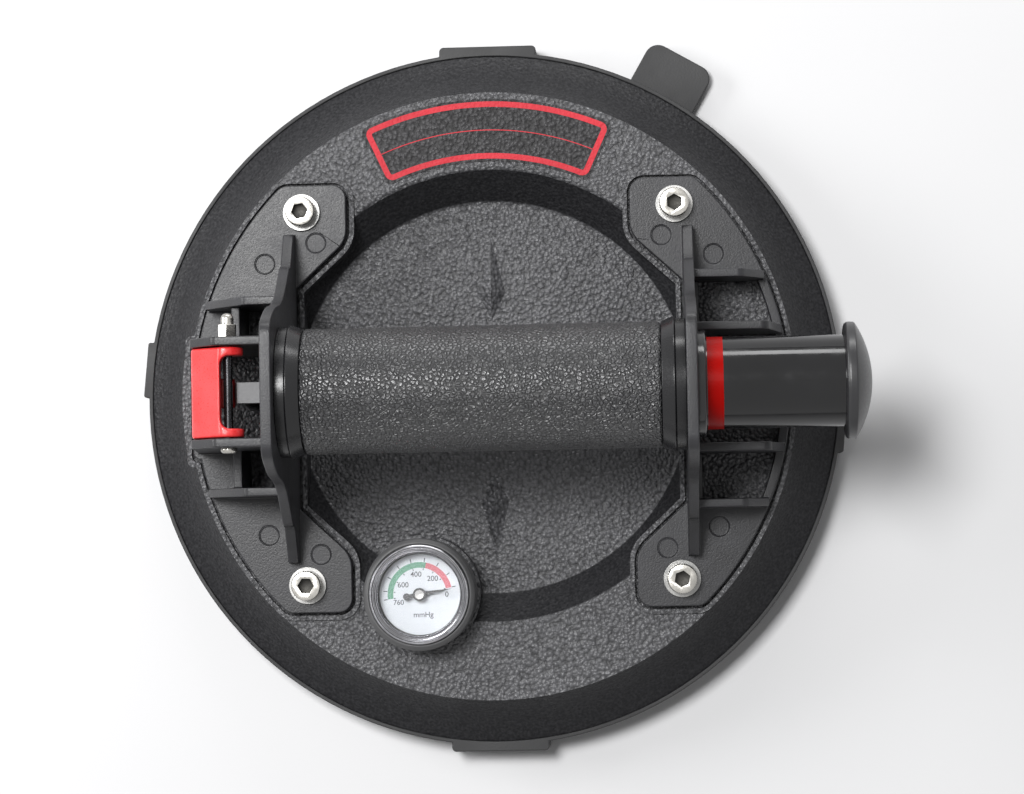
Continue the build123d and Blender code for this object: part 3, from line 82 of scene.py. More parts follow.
def noise(tree, place, size, detail=2.0, stretch=(1, 1, 1)):
    """Soft noise with blotches about size metres across, longer where stretch is below 1."""
    node = tree.nodes.new("ShaderNodeTexNoise")
    node.inputs["Scale"].default_value = 1 / size
    node.inputs["Detail"].default_value = detail
    if stretch != (1, 1, 1):
        mapping = tree.nodes.new("ShaderNodeMapping")
        mapping.inputs["Scale"].default_value = stretch
        tree.links.new(place, mapping.inputs["Vector"])
        place = mapping.outputs["Vector"]
    tree.links.new(place, node.inputs["Vector"])
    return node.outputs["Fac"]


def pebbles(tree, place, size, feature="SMOOTH_F1", smooth=0.5):
    """Rounded cells about size metres across; their height falls towards their middle."""
    node = tree.nodes.new("ShaderNodeTexVoronoi")
    node.feature = feature
    node.inputs["Scale"].default_value = 1 / size
    if feature == "SMOOTH_F1":
        node.inputs["Smoothness"].default_value = smooth
    tree.links.new(place, node.inputs["Vector"])
    return node.outputs["Distance"]


def sum_of(tree, kind, first, second):
    """A math node on two values, each a socket or a number."""
    node = tree.nodes.new("ShaderNodeMath")
    node.operation = kind
    for socket, value in zip(node.inputs, (first, second)):
        if isinstance(value, (int, float)):
            socket.default_value = value
        else:
            tree.links.new(value, socket)
    return node.outputs[0]


def spread(tree, value, low, high, start=0.35, stop=0.65):
    """Maps a value from start..stop to low..high."""
    node = tree.nodes.new("ShaderNodeMapRange")
    node.inputs["From Min"].default_value = start
    node.inputs["From Max"].default_value = stop
    node.inputs["To Min"].default_value = low
    node.inputs["To Max"].default_value = high
    tree.links.new(value, node.inputs["Value"])
    return node.outputs["Result"]


def between(tree, factor, first, second):
    """A colour that goes from first to second as factor goes from 0 to 1."""
    node = tree.nodes.new("ShaderNodeMix")
    node.data_type = "RGBA"
    tree.links.new(factor, node.inputs[0])
    for socket, colour in ((node.inputs[6], first), (node.inputs[7], second)):
        if isinstance(colour, tuple):
            socket.default_value = colour
        else:
            tree.links.new(colour, socket)
    return node.outputs[2]


def blend(tree, first, share, second, other):
    """Adds two values, each times its share."""
    return sum_of(
        tree, "ADD",
        sum_of(tree, "MULTIPLY", first, share), sum_of(tree, "MULTIPLY", second, other),
    )


def paint(tree, shader, value, dark, light, start=0.35, stop=0.65):
    """Colours a finish from dark to light as a value goes from start to stop."""
    colour = between(tree, spread(tree, value, 0, 1, start, stop), screen(*dark), screen(*light))
    tree.links.new(colour, shader.inputs["Base Color"])
    return colour


def raise_surface(tree, shader, height, depth):
    """Lets a height from 0 to 1 stand depth metres proud."""
    node = tree.nodes.new("ShaderNodeBump")
    node.inputs["Strength"].default_value = 1.0
    node.inputs["Distance"].default_value = depth
    tree.links.new(height, node.inputs["Height"])
    tree.links.new(node.outputs["Normal"], shader.inputs["Normal"])
    return node


def satin(name, dark, light, rough, texture, depth, blotch=0.02, **shine):
    """A moulded finish: two close shades in blotches, uneven gloss and a fine texture."""
    material, tree, shader, place = start_material(name, rough, **shine)
    patches = noise(tree, place, blotch, 3.0)
    paint(tree, shader, patches, dark, light)
    fine = noise(tree, place, texture, 3.0)
    uneven = blend(tree, patches, 0.5, fine, 0.5)
    gloss = spread(tree, uneven, max(0.03, rough - 0.07), rough + 0.07)
    tree.links.new(gloss, shader.inputs["Roughness"])
    raise_surface(tree, shader, fine, depth)
    return material


def finish(material, slot, *names):
    """Gives CAD nodes that keep their shape their finish."""
    for name in names:
        node = nodes[name]
        if not node.material_slots:
            node.data.materials.append(material)
        for holder in node.material_slots:
            holder.material = material


def only(thing):
    """Selects one object and makes it the active one."""
    bpy.ops.object.select_all(action="DESELECT")
    thing.hide_set(False)
    thing.select_set(True)
    bpy.context.view_layer.objects.active = thing


def dress(piece, name, body, material, angle=30, keep=False):
    """Names a new piece, shades it, and gives it its body and, unless it keeps its own, a finish."""
    only(piece)
    bpy.ops.object.transform_apply(location=True, rotation=True, scale=True)
    bpy.ops.object.shade_smooth_by_angle(angle=math.radians(angle))
    piece.name = name
    piece.data.name = name
    if not keep:
        piece.data.materials.clear()
        piece.data.materials.append(material)
    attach(piece, body)
    return piece


def copy_of(node_name):
    """A new piece with a CAD node's shape, its doubled vertices merged, to be worked on."""
    source = nodes[node_name]
    piece = source.copy()
    piece.data = source.data.copy()
    piece.parent = None
    bpy.context.scene.collection.objects.link(piece)
    only(piece)
    bpy.ops.object.mode_set(mode="EDIT")
    bpy.ops.mesh.select_all(action="SELECT")
    bpy.ops.mesh.remove_doubles(threshold=0.002 * MM)
    bpy.ops.object.mode_set(mode="OBJECT")
    return piece


def soften(node_name, name, body, material, radius):
    """A copy of a CAD node whose sharp edges are rounded as a mould or a file leaves them."""
    piece = copy_of(node_name)
    bpy.ops.object.mode_set(mode="EDIT")
    bpy.ops.mesh.dissolve_limited(angle_limit=math.radians(1))
    bpy.ops.object.mode_set(mode="OBJECT")
    edge = piece.modifiers.new("edges", "BEVEL")
    edge.width = radius
    edge.segments = 2
    edge.limit_method = "ANGLE"
    edge.angle_limit = math.radians(38)
    edge.use_clamp_overlap = False
    bpy.ops.object.modifier_apply(modifier=edge.name)
    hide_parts(node_name)
    dress(piece, name, body, material, angle=35)
    only(piece)
    even = piece.modifiers.new("even", "WEIGHTED_NORMAL")
    even.keep_sharp = True
    bpy.ops.object.modifier_apply(modifier=even.name)
    return piece


cup_rubber, tree, shader, place = start_material("cup_rubber", roughness=0.55, specular=0.4)
bloom = noise(tree, place, 0.018, 4.0)
paint(tree, shader, bloom, (33, 33, 34), (48, 48, 49), 0.4, 0.75)
mould = noise(tree, place, 0.0005, 3.0)
tree.links.new(spread(tree, bloom, 0.48, 0.66), shader.inputs["Roughness"])
raise_surface(tree, shader, mould, 0.00004)
soften("rubber_cup", "cup", "lifter", cup_rubber, 0.35 * MM)


# Port filter: a small disc of sintered bronze grains, pressed into the cup from below.
# It keeps dust and glass splinters out of the pump.
filter_bronze, tree, shader, place = start_material("filter_bronze", roughness=0.5, metallic=0.85)
grains = pebbles(tree, place, 0.0004, smooth=0.2)
paint(tree, shader, grains, (188, 150, 92), (96, 70, 40), 0.1, 0.6)
raise_surface(tree, shader, sum_of(tree, "SUBTRACT", 1.0, grains), 0.0002)
finish(filter_bronze, "filter_bronze", "port_filter")


# Backing plate: a zinc-plated steel disc, laser cut and bonded to the rubber, with a
# hexagon nut welded on below each bracket screw. The base plate hides both.
def plated(name, dark, light, rough, streak=(1, 1, 1), metallic=0.9, depth=0.000005):
    """Plated or rolled metal with cloudy shade, uneven gloss and fine scratches."""
    material, tree, shader, place = start_material(name, rough, metallic=metallic)
    cloud = noise(tree, place, 0.006, 4.0)
    paint(tree, shader, cloud, dark, light, 0.3, 0.7)
    lines = noise(tree, place, 0.0006, 2.0, streak)
    tree.links.new(spread(tree, lines, rough - 0.04, rough + 0.05), shader.inputs["Roughness"])
    raise_surface(tree, shader, lines, depth)
    return material


zinc_steel = plated("zinc_steel", (160, 162, 164), (196, 198, 199), 0.4)
finish(zinc_steel, "zinc_steel", "backing_plate", "weld_nuts")


# Base plate: the moulded cover of black glass-filled nylon, with a sunk centre for the
# fingers, a flat deck and a sloping band. It has a coarse pebble grain that glints where
# it lies flat, and is plain on the band and the steep walls, whose darker colour there is
# painted shade for faces that turn away from the light above.
def grained(name, dark, light, depth, rough, specular):
    """Moulded plastic with a coarse pebble grain, paler and glossier on the pebbles' tops."""
    material, tree, shader, place = start_material(name, rough, specular=specular)
    lump = pebbles(tree, place, 0.0011, smooth=0.2)
    speck = noise(tree, place, 0.0007, 2.0)
    worn = noise(tree, place, 0.03, 3.0)
    height = blend(tree, sum_of(tree, "SUBTRACT", 1.0, lump), 0.8, speck, 0.6)
    shade = blend(tree, height, 0.75, worn, 0.25)
    colour = paint(tree, shader, shade, dark, light, 0.5, 0.9)
    tree.links.new(spread(tree, height, rough + 0.1, rough - 0.08, 0.5, 1.0), shader.inputs["Roughness"])
    grain = raise_surface(tree, shader, height, depth)
    return material, tree, shader, place, colour, grain


GLOSS = 0.42
NEAR = 0.05 * MM       # a vertex this close to a level or a radius lies on it
FADE = 0.3 * MM        # the grain fades out this far on either side of the deck's edge
LEVEL = (0.95, 0.99)   # how much a face looks up, from a slope like the band's to level
STEEP = (0.7, 0.8)     # and from a steep wall to a slope that keeps its grain
base_plastic, tree, shader, place, colour, grain = grained(
    "base_plastic", (50, 50, 52), (98, 98, 101), 0.00048, 0.34, GLOSS
)
DECK_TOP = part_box("label_plate")[0].z
DECK_EDGE = max(
    vertex.co.xy.length
    for vertex in nodes["base_plate"].data.vertices
    if abs(vertex.co.z - DECK_TOP) < NEAR
)
parts = tree.nodes.new("ShaderNodeSeparateXYZ")
tree.links.new(place, parts.inputs[0])
squares = [sum_of(tree, "POWER", parts.outputs[axis], 2.0) for axis in (0, 1)]
reach = sum_of(tree, "POWER", sum_of(tree, "ADD", *squares), 0.5)
facing = tree.nodes.new("ShaderNodeSeparateXYZ")
tree.links.new(tree.nodes.new("ShaderNodeNewGeometry").outputs["True Normal"], facing.inputs[0])
upwards = facing.outputs[2]
on_band = sum_of(
    tree, "MULTIPLY",
    spread(tree, reach, 0, 1, DECK_EDGE - FADE, DECK_EDGE + FADE),
    spread(tree, upwards, 1, 0, *LEVEL),
)
sloping = sum_of(tree, "MAXIMUM", on_band, spread(tree, upwards, 1, 0, *STEEP))
# Band and steep walls: a darker colour that is painted shade for faces turned away from the light above;
# their weaker grain and lower gloss are the finish.
speck = noise(tree, place, 0.0008, 3.0)
painted_slope_shade = between(tree, spread(tree, speck, 0, 1, 0.4, 0.7), screen(30, 30, 32), screen(50, 50, 52))
tree.links.new(between(tree, sloping, colour, painted_slope_shade), shader.inputs["Base Color"])
tree.links.new(spread(tree, sloping, GLOSS, 0.12, 0, 1), shader.inputs["Specular IOR Level"])
tree.links.new(spread(tree, sloping, 1.0, 0.3, 0, 1), grain.inputs["Strength"])
finish(base_plastic, "base_plastic", "base_plate")


# Label plate: a curved dark film with a red line round it and a thin red line that divides
# it, glued on the deck. It is left blank.
label_film = grained("label_film", (26, 25, 26), (62, 61, 63), 0.0004, 0.44, 0.3)[0]
finish(label_film, "label_film", "label_plate")
LABEL_INNER = 66.8 * MM
LABEL_OUTER = 84.6 * MM
LABEL_ANGLE = 50.4
LABEL_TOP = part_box("label_plate")[1].z
LABEL_MIDDLE = (LABEL_INNER + LABEL_OUTER) / 2
LABEL_MARGIN = 0.7 * MM   # from the film's edge to the red line
LINE_WIDTH = 1.6 * MM
LINE_CORNER = 2.2 * MM
DIVIDER_HALF = 0.12 * MM
INK = 0.03 * MM
WELD = 0.001 * MM         # vertices closer than this become one


def curved_strip(inner, outer, level, start, turn, steps):
    """A flat curved strip round the cup's axis: one radial edge, spun by turn degrees from start."""
    bpy.ops.object.select_all(action="DESELECT")
    bpy.ops.mesh.primitive_plane_add(size=1, location=(0, 0, 0))
    strip = bpy.context.object
    bpy.ops.object.mode_set(mode="EDIT")
    mesh = bmesh.from_edit_mesh(strip.data)
    along = Vector((math.cos(math.radians(start)), math.sin(math.radians(start)), 0))
    for vertex in mesh.verts:
        reach = inner if vertex.co.x < 0 else outer
        vertex.co = along * reach + Vector((0, 0, level))
    bmesh.update_edit_mesh(strip.data)
    bpy.ops.mesh.select_all(action="SELECT")
    bpy.ops.mesh.remove_doubles(threshold=WELD)
    bpy.ops.mesh.spin(
        steps=steps, angle=-math.radians(turn), center=(0, 0, 0), axis=(0, 0, 1), use_normal_flip=False
    )
    bpy.ops.mesh.select_all(action="SELECT")
    bpy.ops.mesh.remove_doubles(threshold=WELD)
    bpy.ops.mesh.normals_make_consistent(inside=False)
    bpy.ops.object.mode_set(mode="OBJECT")
    return strip


def thicken(piece, thickness):
    """Gives a flat piece a thickness upwards."""
    only(piece)
    bpy.ops.object.mode_set(mode="EDIT")
    mesh = bmesh.from_edit_mesh(piece.data)
    for face in mesh.faces:
        if face.normal.z < 0:
            face.normal_flip()
    bmesh.update_edit_mesh(piece.data)
    bpy.ops.object.mode_set(mode="OBJECT")
    wall = piece.modifiers.new("wall", "SOLIDIFY")
    wall.thickness = thickness
    wall.offset = 1.0
    bpy.ops.object.modifier_apply(modifier=wall.name)


label_red = satin("label_red", (186, 32, 46), (206, 50, 62), 0.55, 0.0008, 0.0002, specular=0.3)
border = curved_strip(
    LABEL_INNER + LABEL_MARGIN, LABEL_OUTER - LABEL_MARGIN, LABEL_TOP,
    90 - LABEL_ANGLE / 2 + 0.5, LABEL_ANGLE - 1, 24,
)
only(border)
bpy.ops.object.mode_set(mode="EDIT")
bpy.ops.mesh.select_mode(type="VERT")
bpy.ops.mesh.select_all(action="DESELECT")
mesh = bmesh.from_edit_mesh(border.data)
for vertex in mesh.verts:
    turn = math.degrees(math.atan2(vertex.co.y, vertex.co.x)) - 90
    vertex.select = abs(turn) > LABEL_ANGLE / 2 - 1
bmesh.update_edit_mesh(border.data)
bpy.ops.mesh.bevel(offset=LINE_CORNER, segments=6, affect="VERTICES")
bpy.ops.mesh.select_mode(type="FACE")
bpy.ops.mesh.select_all(action="SELECT")
bpy.ops.mesh.inset(thickness=LINE_WIDTH, use_boundary=True)
bpy.ops.mesh.delete(type="FACE")
bpy.ops.object.mode_set(mode="OBJECT")
thicken(border, INK)
dress(border, "label_border", "lifter", label_red)

divider = curved_strip(
    LABEL_MIDDLE - DIVIDER_HALF, LABEL_MIDDLE + DIVIDER_HALF, LABEL_TOP,
    90 - LABEL_ANGLE / 2 + 1.6, LABEL_ANGLE - 3.2, 36,
)
thicken(divider, INK)
dress(divider, "label_divider", "lifter", label_red)


# End brackets: two mouldings of dark grey nylon with a satin, lightly spark-eroded face.
# Each has two feet and a bell-shaped upright that clamps the pump. The valve-end one
# carries the release lever between two tall arms, the pump-end one has four gussets.
bracket_plastic = satin(
    "bracket_plastic", (34, 34, 36), (46, 46, 49), 0.37, 0.00045, 0.00006, blotch=0.012, specular=0.34
)
soften("pump_end_bracket", "bracket_at_pump", "lifter", bracket_plastic, 0.35 * MM)
soften("valve_end_bracket", "bracket_at_lever", "lifter", bracket_plastic, 0.35 * MM)


# Washers and bracket screws: plain steel washers, and nickel-plated M5 socket cap screws
# with a straight knurl round the head. Four of each, one in every foot.
washer_steel = plated("washer_steel", (118, 118, 117), (150, 149, 147), 0.34)
soften("screw_washers", "washers", "lifter", washer_steel, 0.15 * MM)

screw_nickel = plated("screw_nickel", (150, 148, 143), (190, 187, 181), 0.24, metallic=1.0)
# Dark material for the inside of the hex socket: painted shade in the recess.
socket_shade = plated("socket_shade", (44, 43, 41), (66, 64, 60), 0.5, metallic=0.7)
washer_low, washer_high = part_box("screw_washers")
screw_low, screw_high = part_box("bracket_screws")
WASHER_RADIUS = 5.3 * MM
SCREW_PLACE = (washer_high.x - washer_low.x) / 2 - WASHER_RADIUS
HEAD_RADIUS = 4.25 * MM
HEAD_HEIGHT = screw_high.z - washer_high.z
SHANK_RADIUS = 2.5 * MM
SOCKET_HALF = 2.0 * MM    # half the distance across the hexagon's flats
KNURLS = 36
KNURL_DEPTH = 0.035       # as a share of the head's radius
RIM_WIDTH = 0.35 * MM     # the sloping rim on top of the head
RIM_FALL = 0.4 * MM
bpy.ops.object.select_all(action="DESELECT")
bpy.ops.mesh.primitive_cylinder_add(
    vertices=2 * KNURLS, radius=HEAD_RADIUS, depth=HEAD_HEIGHT,
    location=(0, 0, washer_high.z + HEAD_HEIGHT / 2),
)
screw = bpy.context.object
bpy.ops.object.transform_apply(location=True)
bpy.ops.object.mode_set(mode="EDIT")
bpy.ops.mesh.select_mode(type="FACE")
mesh = bmesh.from_edit_mesh(screw.data)
bpy.ops.mesh.select_all(action="DESELECT")
for face in mesh.faces:
    face.select = face.normal.z > 0.9
bmesh.update_edit_mesh(screw.data)
bpy.ops.mesh.inset(thickness=RIM_WIDTH)
mesh = bmesh.from_edit_mesh(screw.data)
bpy.ops.mesh.select_all(action="DESELECT")
for vertex in mesh.verts:
    turn = round(math.degrees(math.atan2(vertex.co.y, vertex.co.x)) / (180 / KNURLS))
    outside = vertex.co.xy.length > HEAD_RADIUS - NEAR
    if outside and turn % 2:
        vertex.co.xy *= 1 - KNURL_DEPTH
    if outside and vertex.co.z > washer_high.z + HEAD_HEIGHT - NEAR:
        vertex.co.z -= RIM_FALL
bmesh.update_edit_mesh(screw.data)
for face in mesh.faces:
    face.select = face.normal.z < -0.9
bmesh.update_edit_mesh(screw.data)
bpy.ops.mesh.inset(thickness=HEAD_RADIUS - SHANK_RADIUS)
bpy.ops.mesh.extrude_region_move(TRANSFORM_OT_translate={"value": (0, 0, screw_low.z - washer_high.z)})
bpy.ops.object.mode_set(mode="OBJECT")
bpy.ops.object.select_all(action="DESELECT")
bpy.ops.mesh.primitive_cylinder_add(
    vertices=6, radius=SOCKET_HALF / math.cos(math.pi / 6), depth=5 * MM, location=(0, 0, screw_high.z)
)
key = bpy.context.object
bpy.ops.object.transform_apply(location=True)
only(screw)
socket = screw.modifiers.new("socket", "BOOLEAN")
socket.operation = "DIFFERENCE"
socket.object = key
socket.solver = "EXACT"
bpy.ops.object.modifier_apply(modifier=socket.name)
edge = screw.modifiers.new("edges", "BEVEL")
edge.width = 0.08 * MM
edge.segments = 2
edge.limit_method = "ANGLE"
edge.angle_limit = math.radians(35)
bpy.ops.object.modifier_apply(modifier=edge.name)
bpy.data.objects.remove(key)
screw.data.materials.append(screw_nickel)
screw.data.materials.append(socket_shade)
# Faces deep in the socket take the dark material, as painted shade.
for face in screw.data.polygons:
    deep = washer_high.z + 1 * MM < face.center.z < screw_high.z - 0.12 * MM
    face.material_index = 1 if deep and face.center.xy.length < SOCKET_HALF + 0.3 * MM else 0

number = 0
for side_x in (-1, 1):
    for side_y in (-1, 1):
        number += 1
        one = screw.copy()
        one.data = screw.data.copy()
        bpy.context.scene.collection.objects.link(one)
        one.location = (side_x * SCREW_PLACE, side_y * SCREW_PLACE, 0)
        one.rotation_euler = (0, 0, math.radians(17 + 71 * number))
        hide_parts("bracket_screws")
        dress(one, f"bracket_screw_{number}", "lifter", screw_nickel, keep=True)
bpy.data.objects.remove(screw)


# Pump cylinder and grip: a drawn aluminium tube through both uprights, and over it a
# sleeve of soft black plastic with a leather grain, with a small chamfer at each end.
cylinder_aluminium = plated("cylinder_aluminium", (170, 171, 174), (200, 201, 204), 0.3, (0.05, 1, 1))
finish(cylinder_aluminium, "cylinder_aluminium", "pump_cylinder")

DRIFTS = 380      # blotches per metre, which push the cells of the leather out of line
BEND = 0.0012     # by up to about this much
grip_plastic, tree, shader, place = start_material("grip_plastic", roughness=0.34, specular=0.85)
drift = tree.nodes.new("ShaderNodeTexNoise")
drift.inputs["Scale"].default_value = DRIFTS
drift.inputs["Detail"].default_value = 2
tree.links.new(place, drift.inputs["Vector"])
bend = tree.nodes.new("ShaderNodeVectorMath")
bend.operation = "SCALE"
bend.inputs["Scale"].default_value = BEND
tree.links.new(drift.outputs["Color"], bend.inputs[0])
moved = tree.nodes.new("ShaderNodeVectorMath")
moved.operation = "ADD"
tree.links.new(place, moved.inputs[0])
tree.links.new(bend.outputs["Vector"], moved.inputs[1])
crease = pebbles(tree, moved.outputs["Vector"], 0.0011, "DISTANCE_TO_EDGE")
pore = noise(tree, place, 0.0004, 2.0)
cells = spread(tree, crease, 0, 0.8, 0.0, 0.22)
hide = sum_of(tree, "ADD", cells, sum_of(tree, "MULTIPLY", pore, 0.35))
paint(tree, shader, hide, (10, 10, 12), (44, 44, 47), 0.2, 1.0)
tree.links.new(spread(tree, hide, 0.5, 0.26, 0.3, 1.0), shader.inputs["Roughness"])
raise_surface(tree, shader, hide, 0.00038)
soften("grip_sleeve", "grip", "lifter", grip_plastic, 0.3 * MM)


# Collars: moulded plastic rings between the grip and each upright, smooth, with a
# cylindrical step at the upright and a slope down to the grip.
collar_plastic = satin(
    "collar_plastic", (20, 20, 22), (28, 28, 30), 0.26, 0.0005, 0.00001, specular=0.36
)
soften("valve_end_collar", "collar_at_lever", "lifter", collar_plastic, 0.25 * MM)
soften("pump_end_collar", "collar_at_pump", "lifter", collar_plastic, 0.25 * MM)


# Gland and wiper: the polished black ring that screws into the pump's mouth and guides the
# plunger, with a rubber ring in it that wipes the plunger clean.
gland_plastic = satin("gland_plastic", (20, 20, 22), (28, 28, 30), 0.16, 0.0006, 0.00001)
soften("cylinder_gland", "gland", "lifter", gland_plastic, 0.2 * MM)
seal_rubber = satin("seal_rubber", (24, 24, 25), (34, 34, 35), 0.5, 0.0004, 0.00002)
finish(seal_rubber, "seal_rubber", "wiper_ring", "piston_seal", "stem_seal")


# Plunger: a glossy black tube that is pressed again and again to draw the air out. The
# red band at its root shows when the vacuum is low. A mushroom knob closes its end and
# a black piston with a lip seal sits on the other.
plunger_black = satin("plunger_black", (8, 8, 10), (14, 14, 16), 0.12, 0.004, 0.000006, specular=0.42)
finish(plunger_black, "plunger_black", "plunger_tube")
finish(gland_plastic, "gland_plastic", "piston")
band_red = satin("band_red", (150, 4, 2), (166, 10, 5), 0.32, 0.001, 0.000008, specular=0.08)
finish(band_red, "band_red", "indicator_ring")
knob_black = satin("knob_black", (30, 30, 32), (38, 38, 40), 0.34, 0.0006, 0.000012)
soften("plunger_knob", "knob", "plunger", knob_black, 0.25 * MM)


# Springs: cold-drawn steel wire. The long one returns the plunger, the two thin ones
# shut the release valve and the check valve.
spring_steel = plated("spring_steel", (150, 152, 156), (188, 190, 193), 0.28)
for node_name, name, joint, travel in (
    ("return_spring", "plunger_coil", "plunger_slide", 34 * MM),
    ("stem_spring", "stem_coil", "stem_slide", 1.72 * MM),
    ("check_spring", "check_coil", "check_lift", 1.2 * MM),
):
    coil = copy_of(node_name)
    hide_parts(node_name)
    dress(coil, name, "lifter", spring_steel, angle=60)
    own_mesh(coil)


# Valve body and valves: a black plug in the cylinder's far end, through which runs the grey
# stem that the lever pushes, and the check valve's brass seat and drilled retainer and its
# rubber disc behind it. Brass is also what the gauge's works are made of.
brass, tree, shader, place = start_material("brass", roughness=0.3, metallic=1.0)
stain = noise(tree, place, 0.004, 4.0)
paint(tree, shader, stain, (206, 170, 98), (176, 138, 74), 0.35, 0.7)
cut = noise(tree, place, 0.0008, 2.0, (0.2, 1, 1))
tree.links.new(spread(tree, cut, 0.2, 0.42), shader.inputs["Roughness"])
raise_surface(tree, shader, cut, 0.00001)
finish(brass, "brass", "gauge_stem", "gauge_movement", "gauge_sector", "gauge_pinion", "bourdon_tube",
       "check_seat", "check_retainer")
finish(gland_plastic, "gland_plastic", "valve_body")
valve_grey = satin("valve_grey", (84, 84, 86), (96, 96, 98), 0.42, 0.0005, 0.00001)
finish(valve_grey, "valve_grey", "valve_stem")
finish(seal_rubber, "seal_rubber", "check_disc")


# Air path: a short black rubber hose from the moulded elbow below the valve stem to the
# moulded nipple in the base.
finish(seal_rubber, "seal_rubber", "air_hose")
finish(bracket_plastic, "bracket_plastic", "air_elbow", "base_nipple")


# Release lever: a bright red nylon paddle on a steel pivot, pressed with the thumb to let
# the air back in. Its outside is polished by the mould and catches the light.
lever_red, tree, shader, place = start_material("lever_red", roughness=0.32, specular=0.5, coat=0.15)
cloud = noise(tree, place, 0.008, 3.0)
paint(tree, shader, cloud, (222, 40, 42), (236, 58, 60))
skin = noise(tree, place, 0.0005, 3.0)
tree.links.new(spread(tree, skin, 0.26, 0.4), shader.inputs["Roughness"])
raise_surface(tree, shader, skin, 0.000025)
paddle = copy_of("release_lever")
skin = paddle.modifiers.new("skin", "REMESH")
skin.mode = "VOXEL"
skin.voxel_size = 0.4 * MM
bpy.ops.object.modifier_apply(modifier=skin.name)
worn_edges = paddle.modifiers.new("worn_edges", "SMOOTH")
worn_edges.factor = 0.5
worn_edges.iterations = 10
bpy.ops.object.modifier_apply(modifier=worn_edges.name)
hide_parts("release_lever")
dress(paddle, "lever_paddle", "lever", lever_red, angle=60)


# Pivot: a nickel-plated button-head bolt through both arms, with an acorn nut at +Y.
# Between the arms its shank is coloured dark, as painted shade under the paddle.
PADDLE_HALF = 12.6 * MM   # half the paddle's width, with its play
shank_shade = plated("shank_shade", (40, 40, 42), (58, 58, 60), 0.25, metallic=0.8)
pivot = soften("pivot_bolt", "pivot", "lifter", screw_nickel, 0.1 * MM)
pivot.data.materials.append(shank_shade)
# Faces between the arms take the dark colour: painted shade.
for face in pivot.data.polygons:
    face.material_index = 1 if abs(face.center.y) < PADDLE_HALF else 0
soften("acorn_nut", "acorn", "lifter", screw_nickel, 0.12 * MM)


# Gauge case: a black rubber boot round a pressed steel case, closed by a crimped bezel of
# polished steel, turned with two grooves, over a flat glass.
boot_rubber = satin("boot_rubber", (64, 64, 65), (78, 78, 79), 0.5, 0.0006, 0.00003)
soften("gauge_boot", "boot", "lifter", boot_rubber, 0.3 * MM)
bezel_steel = plated("bezel_steel", (118, 118, 121), (140, 140, 143), 0.2, depth=0.000001)
finish(bezel_steel, "bezel_steel", "gauge_case")
bezel_low, bezel_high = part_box("gauge_bezel")
GAUGE_X = (bezel_low.x + bezel_high.x) / 2
GAUGE_Y = (bezel_low.y + bezel_high.y) / 2
BEZEL_DEPTH = (bezel_high.z - bezel_low.z) / MM


def turned(points, place, steps):
    """A ring turned to a closed profile, whose points are (radius, height) in millimetres."""
    bpy.ops.object.select_all(action="DESELECT")
    bpy.ops.mesh.primitive_circle_add(
        vertices=len(points), radius=1, fill_type="NOTHING", location=(0, 0, 0)
    )
    ring = bpy.context.object
    bpy.ops.object.mode_set(mode="EDIT")
    mesh = bmesh.from_edit_mesh(ring.data)
    for vertex, (radius, height) in zip(mesh.verts, points):
        vertex.co = Vector((radius * MM, 0, height * MM))
    bmesh.update_edit_mesh(ring.data)
    bpy.ops.mesh.select_all(action="SELECT")
    bpy.ops.mesh.spin(steps=steps, angle=-2 * math.pi, center=(0, 0, 0), axis=(0, 0, 1))
    bpy.ops.mesh.select_all(action="SELECT")
    bpy.ops.mesh.remove_doubles(threshold=WELD)
    bpy.ops.mesh.normals_make_consistent(inside=False)
    bpy.ops.object.mode_set(mode="OBJECT")
    ring.location = place
    return ring


bezel = turned(
    (
        (14.0, -BEZEL_DEPTH), (14.0, -0.6), (13.9, -0.25), (13.65, -0.05), (13.4, -0.05), (13.2, -0.3),
        (13.15, -0.85), (12.95, -0.85), (12.9, -0.2), (12.7, 0), (12.5, -0.05), (12.35, -0.3),
        (12.3, -0.85), (12.1, -0.85), (12.05, -0.5), (11.85, -0.35), (11.7, -0.5), (11.6, -0.92),
        (11.6, -1.0), (13.46, -1.0), (13.46, -BEZEL_DEPTH),
    ),
    (GAUGE_X, GAUGE_Y, bezel_high.z), 96,
)
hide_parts("gauge_bezel")
dress(bezel, "bezel", "lifter", bezel_steel)

lens_glass, tree, shader, place = start_material("lens_glass", roughness=0.02, specular=0.5)
shader.inputs["Transmission Weight"].default_value = 1.0
shader.inputs["IOR"].default_value = 1.45
smear = noise(tree, place, 0.003, 4.0)
tree.links.new(spread(tree, smear, 0.0, 0.05, 0.5, 0.8), shader.inputs["Roughness"])
clear = tree.nodes.new("ShaderNodeBsdfTransparent")
rays = tree.nodes.new("ShaderNodeLightPath")
choose = tree.nodes.new("ShaderNodeMixShader")
tree.links.new(rays.outputs["Is Shadow Ray"], choose.inputs[0])
tree.links.new(shader.outputs["BSDF"], choose.inputs[1])
tree.links.new(clear.outputs["BSDF"], choose.inputs[2])
tree.links.new(choose.outputs["Shader"], tree.nodes["Material Output"].inputs["Surface"])
finish(lens_glass, "lens_glass", "gauge_lens")


